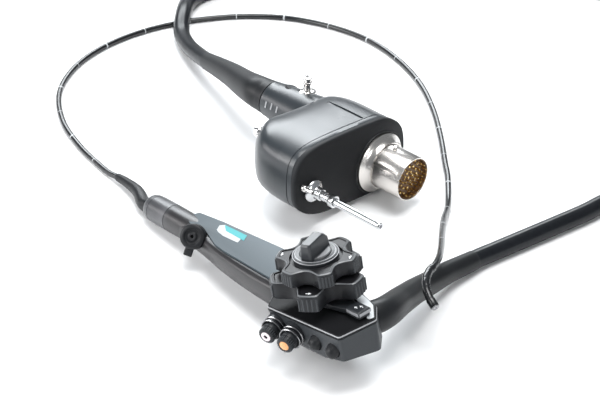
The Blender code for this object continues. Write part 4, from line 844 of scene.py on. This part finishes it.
def lobed(radius, valley, lobes, phase):
    """The outline of a wheel, with a flat top on each lobe and a scooped hollow between lobes."""
    outline = []
    pitch = 2 * math.pi / lobes
    for lobe in range(lobes):
        for step in range(LOBE_STEPS):
            turn = step / LOBE_STEPS - 0.5
            reach = abs(turn) * 2
            r = radius
            if reach >= LOBE_SHARE:
                t = (reach - LOBE_SHARE) / (1 - LOBE_SHARE)
                r = valley + (radius - valley) * (1 - math.sin(t * math.pi / 2)) ** 1.3
            angle = math.radians(phase) + (lobe + turn) * pitch
            outline.append((r * math.cos(angle), r * math.sin(angle)))
    return outline


def finger_wheel(name, node, radius, valley, lobes, phase, bottom, thickness, bore, dish):
    """The wheel's body with rounded rims, a paler strip on its top rim as a painted highlight, and its ribs;
    gives a frame for each lobe, and its top.
    """
    outline = lobed(radius, valley, lobes, phase)
    top = bottom + thickness

    def drawn(z, distance):
        return [Vector((x, y, z)) - Vector((x, y, 0)).normalized() * distance for x, y in outline]

    levels = [
        (bottom, 0.0016), (bottom + 0.0004, 0.0007), (bottom + 0.0012, 0.0), (top - 0.0014, 0.0),
        (top - 0.0005, 0.0005), (top, 0.0015), (top, 0.0027), (top - 0.0006, 0.0033),
    ]
    rings = [drawn(*level) for level in levels]
    # Paler strip along the top rim: a painted highlight.
    strip(name + "_edge", drawn(top - 0.0004, 0.0005), drawn(top + 0.00005, 0.0015), BODY, node, WHEEL_RIM_HIGHLIGHT)
    cutters = [rod(name + "_bore", bore, bottom - 0.01, top + 0.01, BODY)]
    if dish:
        cutters.append(rod(name + "_dish", WEB_RADIUS, top - 0.0025, top + 0.02, BODY, 96))
    piece(name, carved(loft(name, rings, BODY), *cutters), node, WHEEL_BLACK, (node,), smooth=30)
    ribs, spots = [], []
    for lobe in range(lobes):
        centre = phase + 360 * lobe / lobes
        half = 0.30 * 180 / lobes
        height = bottom + thickness * 0.47
        ribs += ring_spots(BODY, 5, radius - 0.0001, height, (0.8, 1, 1), centre - half, 2.5 * half)
        spots.append(BODY @ Matrix.Rotation(math.radians(centre), 4, "Z"))
    sizes = {"Radius": 0.0007, "Length": thickness * 0.72}
    piece(name + "_ribs", copies(name + "_ribs", ribs, "bar", sizes, WHEEL_BLACK), node, WHEEL_BLACK)
    return spots, top


INK_DEPTH = 0.00012
UD_WHEEL = finger_wheel(
    "up_down_wheel", "ud_wheel", radius=0.0310, valley=0.0210, lobes=5, phase=-51.5, bottom=0.0078,
    thickness=0.0120, bore=0.0059, dish=False,
)
LR_WHEEL = finger_wheel(
    "left_right_wheel", "lr_wheel", radius=0.0262, valley=0.0200, lobes=6, phase=-85.0, bottom=0.0210,
    thickness=0.0105, bore=0.0042, dish=True,
)


def arrow(name, place, z, body, size=0.0018):
    """A small printed arrowhead with its tail bar, pointing along y."""
    tip = [(0.0, size), (-size * 0.7, -0.1 * size), (size * 0.7, -0.1 * size)]
    side = size * 0.22
    tail = [(-side, -0.3 * size), (-side, -size), (side, -size), (side, -0.3 * size)]
    for part, outline in (("_tip", tip), ("_tail", tail)):
        piece(name + part, prism(name + part, outline, z, z + INK_DEPTH, place), body, WHITE_INK)


for label, node, (lobes, top), marked, radius in (
    ("up_down", "ud_wheel", UD_WHEEL, (0, 2, 3), 0.0262),
    ("left_right", "lr_wheel", LR_WHEEL, (2, 5), 0.0226),
):
    for i in marked:
        place = lobes[i] @ Matrix.Translation((radius, 0, 0))
        arrow(f"{label}_arrow_{i}", place, top - 0.00055, node)

# Brake knob with its fin, and the brake lever
KNOB_BOTTOM = 0.0294
knob_steps = mm(
    (0, 5), (9.8, 5), (10.2, 4.7), (10.4, 4.2), (11, 4.1), (11.6, 4.4), (13, 4.4), (13.9, 4.1),
    (14.4, 3.3), (14.5, 2.6), (14.5, 1.5), (14, 1.2), (14, 0.7), (14.5, 0.4), (14.5, 0), (2.6, 0),
    (2.6, 3.6), (0, 3.6),
)
knob_profile = [(r, z + KNOB_BOTTOM) for r, z in knob_steps]
turned("brake_knob", knob_profile, BODY, KNOB_BLACK, "lr_brake_knob", "lr_brake_knob")
for name, radius, z in (("knob_ring", 0.0126, 0.0044), ("knob_rim", 0.0143, 0.0036)):
    z += KNOB_BOTTOM
    ring = [(radius, z - 0.0002), (radius + 0.0002, z + 0.00012)]
    ring += [(radius + 0.0006, z + 0.0001), (radius + 0.0006, z - 0.0003)]
    turned(name, ring, BODY, GREY_PARTS_AND_HIGHLIGHTS, body="lr_brake_knob", steps=128)
FIN = BODY @ Matrix.Rotation(math.radians(112), 4, "Z")
fin_rings = []
for z, back, front, width in mm(
    (33.3, 11.2, 11.5, 9.8), (35, 11.4, 11.5, 8.6), (39.8, 11.4, 11.2, 8), (42.8, 11, 8.5, 7.4),
    (44.4, 10, 6.2, 6.2),
):
    corners = [(-back, -width / 2), (front, -width / 2), (front, width / 2), (-back, width / 2)]
    fin_rings.append([(x, y, z) for x, y in rounded(corners, 0.0018)])
piece("brake_fin", loft("brake_fin", fin_rings, FIN), "lr_brake_knob", KNOB_BLACK, bevel=0.0007, limit=20)
# Pale D-shaped panels either side of the fin: painted reflections.
for name, side in (("knob_painted_reflection_a", 1), ("knob_painted_reflection_b", -1)):
    edge = [math.radians(a) for a in range(38, 143, 8)]
    panel = [(0.0092 * math.cos(a), side * 0.0092 * math.sin(a)) for a in edge]
    panel = prism(name, panel, KNOB_BOTTOM + 0.0049, KNOB_BOTTOM + 0.0052, FIN)
    piece(name, panel, "lr_brake_knob", GREY_PARTS_AND_HIGHLIGHTS)
LEVER = BODY @ Matrix.Rotation(math.radians(3.0), 4, "Z")
lever_outline = mm(
    (-10.5, -6, 5), (6, -10, 4), (28, -4.6, 3), (41, -4.6, 1.5), (41, 4.8, 1.5), (28, 4.8, 3),
    (6, 10, 4), (-10.5, 6, 5),
)
lever = prism("brake_lever", rounded(lever_outline, steps=6), 0.0012, 0.0046, LEVER)
lever = carved(lever, rod("lever_hole", HUB_HOLE_RADIUS, -0.01, 0.02, BODY))
piece("brake_lever", lever, "ud_brake_lever", KNOB_BLACK, ("ud_brake_lever",), bevel=0.0005)
pad_rings = []
for z, d in mm((3.4, 0), (5.6, 0), (6.4, 0.9)):
    end, side = 0.0415 - d, 0.0052 - d
    corners = [(0.0295, -side), (end, -side), (end, side), (0.0295, side)]
    pad_rings.append([(x, y, z) for x, y in rounded(corners, 0.0007)])
lever_pad = loft("brake_lever_pad", pad_rings, LEVER)
piece("brake_lever_pad", lever_pad, "ud_brake_lever", KNOB_BLACK, bevel=0.0002)
lever_end = block("lever_end", (0.0413, -0.0046, 0.0036), (0.0417, 0.0046, 0.0055), LEVER)
lever_side = block("lever_side", (0.0300, -0.0054, 0.0036), (0.0409, -0.0050, 0.0055), LEVER)
for name, plate in (("lever_end", lever_end), ("lever_side", lever_side)):
    piece(name, plate, "ud_brake_lever", GREY_PARTS_AND_HIGHLIGHTS)
for i, y in enumerate((-0.0012, 0.0016)):
    place = LEVER @ Matrix.Translation((0.0345 + 0.002 * i, y, 0)) @ Matrix.Rotation(math.radians(90), 4, "Z")
    arrow(f"lever_arrow_{i}", place, 0.0064, "ud_brake_lever", 0.0015)

# Valves: a stepped cylinder with two thin metal rims, a sprung button with its coloured insert
for name, foot in VALVES.items():
    seat = along(BODY, foot, SIDE_NORMAL)
    cylinder_profile = mm(
        (0, -2.7), (3.2, -2.7), (3.2, 1.8), (6.2, 1.8), (6.2, 8.8), (6.6, 9.2), (7, 9.2), (7.4, 8.9),
        (7.4, 7.6), (7, 7.2), (7, 6), (7.6, 5.6), (7.6, 0.3), (4, 0.3), (4, -3.5), (0, -3.5),
    )
    turned(name + "_seat", cylinder_profile, seat, HEAD_BLACK, name + "_cylinder")
    rim = turned_metal(name + "_rim_metal", (0.34, 0.34, 0.35), 0.24, seat)
    for part, z in (("_rim", 0.0056), ("_lip", 0.0090)):
        rim_profile = [(0.0077, z), (0.0074, z + 0.0003), (0.0071, z + 0.0002)]
        rim_profile += [(0.0071, z - 0.0002), (0.0077, z - 0.0003)]
        turned(name + part, rim_profile, seat, rim)
    button = name + "_button"
    button_profile = mm(
        (0, 16), (3.4, 16), (3.6, 16.2), (4.2, 16.2), (5, 15.8), (5.3, 15), (5.3, 12.8), (5.6, 12.2),
        (5.8, 11.6), (5.8, 6.6), (1.8, 6.6), (1.8, 2.1), (0, 2.1),
    )
    turned(name + "_cap", button_profile, seat, HEAD_BLACK, button, button)
    bars = ring_spots(seat, 24, 0.0053, 0.0140)
    knurl = copies(name + "_knurl", bars, "bar", {"Radius": 0.00038, "Length": 0.0030}, HEAD_BLACK)
    piece(name + "_knurl", knurl, button, HEAD_BLACK)
    if name == "suction":
        insert = mm((1.5, 16.6), (2.7, 16.6), (3.3, 16.4), (3.3, 15.8), (1.5, 15.8))
    else:
        insert = mm((0, 16.8), (1.4, 16.7), (2.6, 16.5), (3.3, 16), (3.3, 15.8), (0, 15.8))
    ink = SUCTION_MARK if name == "suction" else WATER_MARK
    turned(name + "_insert", insert, seat, ink, body=button, steps=48)

# Remote switches: soft domes moulded into the side
for name, foot in SWITCHES.items():
    profile = mm(
        (0, 4.9), (1.1, 4.8), (2.1, 4.5), (3.1, 3.9), (3.8, 3.1), (4.3, 2), (4.6, 0.6), (4.6, -2.8),
        (0, -2.8),
    )
    turned(name + "_dome", profile, along(BODY, foot, SWITCH_NORMAL), RUBBER, name, name, 64)

# Boots of the universal cord
HEAD_BOOT = [BODY @ Vector((0.0290, 0.0080, -0.0100))]
HEAD_BOOT += mm(
    (38.7, -20.9, 34), (49.9, 4.4, 26), (60.6, 26.7, 19), (71.5, 44.4, 14), (83.8, 61.9, 10.5),
    (95.5, 74.5, 8.5), (102.8, 82.1, 7.4),
)
head_boot = sampled(HEAD_BOOT, 0.0020)
STRAIGHT_STEPS = 6
head_boot_radii = [0.0108] * STRAIGHT_STEPS + tapered(len(head_boot) - STRAIGHT_STEPS, 0.0108, 0.0069)
piece("head_boot", tube("head_boot", head_boot, head_boot_radii, 48), ROOT, RUBBER, ("cord_boot",))
PLUG_BOOT = [PLUG @ Vector((x, -0.001, 0.0075)) for x in (-0.1055, -0.1125, -0.1195)]
PLUG_BOOT += mm((-54.5, 283, 35.2), (-65.1, 306.8, 30.5), (-75.7, 329.5, 25), (-85.8, 350.8, 19.5))
plug_boot = sampled(PLUG_BOOT, 0.0020)
plug_boot_mesh = tube("plug_boot", plug_boot, tapered(len(plug_boot), 0.0134, 0.0069), 48)
piece("plug_boot", plug_boot_mesh, ROOT, RUBBER, ("connector_boot",))

# Connector: face plate, shell with its seam and slot, neck with its disc
FACE_OUTLINE = mm(
    (-86.7, 13.6), (-86.2, 21.9), (-84.1, 27.4), (-80, 31.6), (-72.4, 34.6), (-59.1, 36), (-36.3, 36),
    (-17.6, 35.2), (0.5, 34), (8.5, 31.6), (16.5, 27.2), (23.2, 20.5), (26.9, 11.4), (28.6, -1),
    (28, -11), (25.2, -18.4), (19.5, -22.8), (11, -24.3), (2, -24.5), (-10.4, -24.3), (-23.7, -23.8),
    (-40.8, -22.6), (-53.9, -21.4), (-63, -19.5), (-71.8, -16), (-78.5, -11.2), (-83.6, -5),
    (-85.8, 3.6),
)
face_ring = smooth_through([*FACE_OUTLINE[-2:], *FACE_OUTLINE, *FACE_OUTLINE[:3]], 3)
face_ring = face_ring[6:6 + 3 * len(FACE_OUTLINE)]
FACE_MIDDLE = Vector((-0.0300, 0.0060))


def outline_at(depth, drawn_in, corner_cut=0.0):
    """The connector's outline at a depth along x, drawn in all round, its left end more."""
    ring = []
    for point in face_ring:
        out = Vector(point) - FACE_MIDDLE
        out -= out.normalized() * drawn_in
        out.x += corner_cut * min(1.0, max(0.0, (-0.0550 - point[0]) / 0.0250))
        ring.append((depth, *(FACE_MIDDLE + out)))
    return ring


face_steps = mm((-4, 0.3), (-3.6, 0), (-1.2, 0), (-0.4, 0.4), (0, 1.2))
face_rings = [outline_at(*step) for step in face_steps]
face = loft("face_plate", face_rings, PLUG)
piece("face_plate", face, ROOT, FACE_BLACK, ("connector_face_plate",), smooth=50)
shell_steps = mm(
    (-4.3, 0.7, 0), (-4.7, 0.4, 0), (-8.2, 0.4, 0), (-8.4, 0.8, 0), (-9, 0.8, 0), (-9.2, 0.4, 0),
)
shell_steps += smooth_through(mm(
    (-20, 0.4, 0), (-30.3, 0.4, 1), (-40.3, 0.9, 3.3), (-48.3, 2.4, 7.2), (-53.3, 4.8, 11.2),
    (-56.3, 8.5, 15),
), 4)
slot_outline = mm((-43, -11.6), (-9.8, -11), (-9.8, -8.4), (-43, -9))
slot = prism("slot", rounded(slot_outline, 0.0009), 0.0334, 0.04, PLUG)
VENT = along(PLUG, (-0.0503, -0.0660, 0.0225), (-0.85, -0.25, 0.45))
shell = carved(
    loft("connector_case", [outline_at(*step) for step in shell_steps], PLUG), slot,
    rod("vent_well", 0.0035, -0.0060, 0.02, VENT), rod("vent_face", 0.0046, 0.0020, 0.02, VENT),
)
piece("connector_case", shell, ROOT, SHELL_GREY, ("connector_shell",), smooth=34)
NECK = along(PLUG, (-0.0566, -0.001, 0.0075), (-1, 0, 0))
neck_profile = mm(
    (0, 48), (13.4, 48), (13.8, 47.7), (13.8, 46), (14.5, 42), (15.4, 34), (16.4, 25), (17.6, 14),
    (18.5, 7), (19.2, 2), (19.5, 0), (0, 0),
)
WATER = along(PLUG, (-0.0753, 0.0045, 0.0217), (-0.05, -0.05, 1.0))
neck = carved(lathe("neck", neck_profile, NECK), rod("water_well", 0.0067, -0.0015, 0.02, WATER))
piece("neck", neck, ROOT, SHELL_GREY, ("connector_neck",), smooth=30)
DISC = along(PLUG, (-0.0891, 0.0021, 0.0224), (0.06, 0.208, 0.976))
disc_profile = mm((0, 0.4), (4.2, 0.4), (4.4, -0.1), (5, -0.1), (5, -2.4), (0, -2.4))
turned("neck_disc", disc_profile, DISC, WHEEL_BLACK)
for i, spot in enumerate(mm((-97.6, -15.1, 10.4), (-91.6, -15.6, 11.4), (-85.6, -16.2, 11.6))):
    place = along(PLUG, spot, (0, -0.966, 0.259))
    bar = block(f"neck_bar_{i}", (-0.0006, -0.0024, -0.0004), (0.0006, 0.0024, 0.0005), place)
    piece(f"neck_bar_{i}", bar, ROOT, GREY_PARTS_AND_HIGHLIGHTS)

# Water port and vent port
water_profile = mm(
    (3, 14), (3.4, 13.7), (3.4, 12.4), (2.8, 12), (2.8, 10.8), (3.5, 10.4), (3.6, 9.2), (3, 8.6),
    (2.7, 7.4), (3.1, 6), (3.1, 5), (2.7, 4.4), (2.9, 3.2), (5.2, 2.7), (6.2, 2.2), (6.4, 1.6),
    (6.4, -1.2), (1.6, -1.2), (1.6, 14),
)
POLISHED_WATER = turned_metal("polished_water_port", (0.80, 0.78, 0.76), 0.13, WATER)
turned("water_nipple", water_profile, WATER, POLISHED_WATER, "water_port")
vent_profile = mm(
    (0, 9.5), (1.2, 9.3), (2.4, 8.6), (3.4, 7.3), (4, 5.8), (3.9, 4.6), (3.6, 3.6), (3.2, 3), (3.2, -5),
    (0, -5),
)
POLISHED_VENT = turned_metal("polished_vent", (0.80, 0.79, 0.78), 0.12, VENT)
turned("vent_ball", vent_profile, VENT, POLISHED_VENT, "vent_port")

# Video plug: flared base in a dark recess ring, sleeve, insulator and its contacts
SOCKET = along(PLUG, (0, 0, 0), (1, 0, 0))
PLUG_METAL = turned_metal("video_plug_metal", (0.72, 0.69, 0.66), 0.22, SOCKET, 0.00030, 0.000001)
base_profile = mm(
    (17.8, 8.4), (18, 7.6), (18.6, 6.2), (19.5, 4.7), (20.7, 3.6), (21.8, 3), (22.5, 2.2), (22.5, 0.3),
    (16.8, 0.3), (16.8, 8.4),
)
turned("plug_base", base_profile, SOCKET, PLUG_METAL, "video_plug_base")
sleeve_profile = mm(
    (16.3, 33), (16.5, 32.7), (16.5, 0.3), (15.3, 0.3), (15.3, 32.2), (15.5, 32.9), (15.7, 33),
)
turned("plug_sleeve", sleeve_profile, SOCKET, PLUG_METAL, "video_plug_sleeve", steps=128)
gasket = mm((22.9, 0.4), (23.2, 0.8), (23.8, 0.8), (24.1, 0.2), (24.1, -1), (22, -1), (22, 0.2))
turned("plug_gasket", gasket, SOCKET, RUBBER)
INSERT_TOP = 0.0285
insert_profile = [
    (0.0, INSERT_TOP), (0.0141, INSERT_TOP), (0.0145, INSERT_TOP - 0.0004), (0.0150, INSERT_TOP - 0.0004),
    (0.0150, 0.0003), (0.0, 0.0003),
]
turned("insulator", insert_profile, SOCKET, BROWN, "video_plug_insert")
liner = [(0.01525, 0.0320), (0.01525, INSERT_TOP + 0.0001), (0.0150, INSERT_TOP + 0.0001), (0.0150, 0.0320)]
turned("mouth_liner", liner, SOCKET, BROWN)
pins, collars = [], []
for count, radius in ((1, 0.0), (6, 0.0042), (12, 0.0084), (17, 0.0125)):
    for spot, share in ring_spots(SOCKET, count, radius, INSERT_TOP + 0.0022):
        pins.append((spot, share))
        collars.append((spot @ Matrix.Translation((0, 0, -0.0019)), share))
sizes = {"Radius": 0.0005, "Top radius": 0.00034, "Length": 0.0040}
piece("contacts", copies("contacts", pins, "pin", sizes, PIN_GOLD), ROOT, PIN_GOLD, ("video_contacts",))
collars = copies("contact_collars", collars, "band", {"Radius": 0.00070, "Length": 0.0004}, PIN_GOLD)
piece("contact_collars", collars, ROOT, PIN_GOLD)
KEY = SOCKET @ Matrix.Rotation(math.radians(150), 4, "Z")
key = block("key_ridge", (0.0163, -0.0012, 0.0088), (0.0184, 0.0012, 0.0315), KEY)
piece("key_ridge", key, ROOT, PLUG_METAL, ("plug_key",), bevel=0.0005)
STUD = SOCKET @ Matrix.Translation((0, 0, 0.0145)) @ Matrix.Rotation(math.radians(90), 4, "Z")
STUD = STUD @ Matrix.Rotation(math.radians(90), 4, "Y")
stud_profile = mm((0, 18.8), (1.1, 18.8), (1.6, 18.4), (1.6, 17.1), (1.9, 16.3), (0, 16.3))
turned("stud", stud_profile, STUD, PLUG_METAL, "bayonet_stud", steps=40)

# Light guide with its rod and clamp ring, and the air pipe beside it
GUIDE = along(PLUG, (0, -0.0692, 0.0030), (1, 0, 0))
GUIDE_METAL = turned_metal("light_guide_metal", (0.66, 0.67, 0.68), 0.20, GUIDE)
collar_profile = mm(
    (0, 10), (3.8, 10), (4.3, 9.6), (4.4, 8.8), (4.4, 6.2), (4.7, 5.2), (5.8, 4.6), (6.8, 4),
    (7.9, 3.1), (8.4, 2.2), (8.4, 0.8), (8.1, 0.3), (0, 0.3),
)
turned("guide_collar", collar_profile, GUIDE, GUIDE_METAL, "light_guide_base")
rod_profile = mm(
    (0, 63.7), (1.3, 63.7), (1.4, 64), (2.2, 64), (2.6, 63.4), (2.7, 62.6), (2.7, 17), (3.1, 16.6),
    (3.2, 15), (2.7, 14.6), (2.7, 13.2), (3.3, 12.8), (3.3, 10.3), (0, 10.3),
)
turned("guide_rod", rod_profile, GUIDE, GUIDE_METAL, "light_guide_rod", steps=64)
collar = mm((4.5, 21.8), (4.5, 18.3), (4.3, 18), (3, 18), (3, 22), (4.3, 22))
turned("guide_ring", collar, GUIDE, GUIDE_METAL, "rod_collar", steps=64)
guide_glass = mm((0, 63.9), (1.2, 63.8), (1.2, 63), (0, 63))
turned("guide_glass", guide_glass, GUIDE, LENS, steps=32)
PIPE = along(PLUG, (0, -0.0793, 0.0088), (1, 0, 0))
PIPE_METAL = turned_metal("air_pipe_metal", (0.72, 0.71, 0.70), 0.16, PIPE)
pipe_profile = mm(
    (1.5, 10), (1.6, 9.8), (1.6, 4), (2.2, 3.6), (2.6, 2.6), (2.6, 0.3), (0.9, 0.3), (0.9, 10),
)
turned("air_stub", pipe_profile, PIPE, PIPE_METAL, "air_pipe", steps=48)

# Bending section: rubber-skinned links that stay joined as they bend, and the tip with its face
LINK_COUNT = 8
LINK_PITCH = 0.0033
SKIN_RADIUS = 0.0027
REST_BEND = 13.0
place = CHAIN


def capsule(name, length, radius, at):
    """A link's length of skin, with round ends that fill the bend on both sides."""
    arc = [math.radians(a) for a in range(0, 91, 15)]
    profile = [(radius * math.sin(a), length + radius * math.cos(a)) for a in arc]
    profile += [(radius * math.cos(a), -radius * math.sin(a)) for a in arc]
    profile[0], profile[-1] = (0.0, length + radius), (0.0, -radius)
    return lathe(name, profile, at @ Matrix.Rotation(math.radians(90), 4, "Y"), 32)


sleeve_profile = mm((0, 2), (2.2, 1), (2.7, 0), (2.8, -3.5), (2.8, -4.3), (2.4, -4.7), (0, -4.7))
sleeve = lathe("bending_sleeve", sleeve_profile, CHAIN @ Matrix.Rotation(math.radians(90), 4, "Y"), 32)
piece("bending_sleeve", sleeve, ROOT, TUBE_SKIN, ("bending_base",))
for number in range(LINK_COUNT + 1):
    if number % 2 == 0:
        place = place @ Matrix.Rotation(math.radians(REST_BEND), 4, "Z")
    if number < LINK_COUNT:
        node = f"bending_link_{number + 1}"
        link = capsule(f"bending_skin_{number + 1}", LINK_PITCH, SKIN_RADIUS, place)
        piece(f"bending_skin_{number + 1}", link, node, TUBE_SKIN, (node,))
        place = place @ Matrix.Translation((LINK_PITCH, 0, 0))
TIP = place @ Matrix.Rotation(math.radians(90), 4, "Y")
tip_profile = mm(
    (0, 7), (2.2, 7), (2.6, 6.8), (2.8, 6.3), (2.8, 3.2), (2.7, 3), (2.7, 2.7), (2.8, 2.5), (2.8, 0.6),
    (2.5, 0), (1.8, -1.6), (0, -2.2),
)
TIP_METAL = turned_metal("tip_metal", (0.34, 0.34, 0.35), 0.26, TIP)
wells = []
for name, radius, x, y, floor in (
    ("objective", 0.0009, -0.0007, 0.0, 0.0058), ("guide_a", 0.0005, 0.0006, 0.0016, 0.0058),
    ("guide_b", 0.0005, 0.0006, -0.0016, 0.0058), ("channel", 0.0006, 0.0015, 0.0, 0.0030),
):
    wells.append(rod(name + "_well", radius, floor, 0.02, TIP @ Matrix.Translation((x, y, 0)), 24))
tip = carved(lathe("tip_shell", tip_profile, TIP, 48), *wells)
piece("tip_shell", tip, "distal_tip", TIP_METAL, ("distal_tip",), smooth=30)
hood = mm((2.8, 6.2), (3, 5.8), (3, 0.6), (2.7, -0.6), (2.2, -0.6), (2.2, 6.2))
turned("tip_hood", hood, TIP, TUBE_SKIN, body="distal_tip", steps=48)

# Lengths of the two cords, worked out and not kept
path_length(cord_points)
path_length(tube_points)

# Finishes of the solids that stay as they are
steel_nodes = ("chassis_plate", "wheel_axle", "lr_drum", "ud_drum", "suction_spring", "air_water_spring")
lens_nodes = ("objective_lens", "light_guide_left", "light_guide_right")
CARRIED = {
    **dict.fromkeys(steel_nodes, SPRING_STEEL), **dict.fromkeys(lens_nodes, LENS), "connector_board": BOARD,
}
for name, finish in CARRIED.items():
    NODES[name].data.materials.clear()
    NODES[name].data.materials.append(finish)

# Floor, light and surroundings
floor = bpy.data.objects.new("floor", shaped("floor", lambda shape: bmesh.ops.create_grid(shape, size=6.0)))
bpy.context.scene.collection.objects.link(floor)
paper = Finish("pale_floor", 0.85)
shade = paper.cloud(3.0, 2.0)
paper.feed(Base_Color=paper.mixed(shade, (0.90, 0.91, 0.92), (0.93, 0.93, 0.93)))
floor.data.materials.append(paper.material)


def softbox(name, spot, aim, size, power, colour=(1, 1, 1)):
    lamp = bpy.data.lights.new(name, "AREA")
    lamp.shape = "RECTANGLE"
    lamp.size, lamp.size_y = size
    lamp.energy = power
    lamp.color = colour
    obj = bpy.data.objects.new(name, lamp)
    bpy.context.scene.collection.objects.link(obj)
    obj.location = spot
    obj.rotation_euler = (Vector(aim) - Vector(spot)).to_track_quat("-Z", "Y").to_euler()


softbox("back_softbox", (-0.25, 1.75, 1.15), (0.0, 0.15, 0.0), (1.6, 0.7), 44, (0.93, 0.97, 1.0))
softbox("top_softbox", (0.15, 0.10, 1.60), (0.0, 0.10, 0.0), (0.9, 0.9), 25)
softbox("left_softbox", (-1.30, -0.35, 0.75), (0.0, 0.10, 0.03), (0.7, 0.9), 18)
softbox("flank_softbox", (-1.35, 0.25, 0.38), (-0.06, 0.10, 0.03), (0.8, 0.34), 5, (1.0, 0.97, 0.98))
softbox("front_softbox", (0.75, -1.30, 0.70), (0.05, 0.05, 0.03), (0.6, 0.5), 7)
world = bpy.data.worlds.new("studio")
bpy.context.scene.world = world
world.use_nodes = True
world.node_tree.nodes["Background"].inputs["Color"].default_value = (0.80, 0.84, 0.88, 1)
world.node_tree.nodes["Background"].inputs["Strength"].default_value = 0.30
bpy.context.scene.view_settings.view_transform = "Standard"
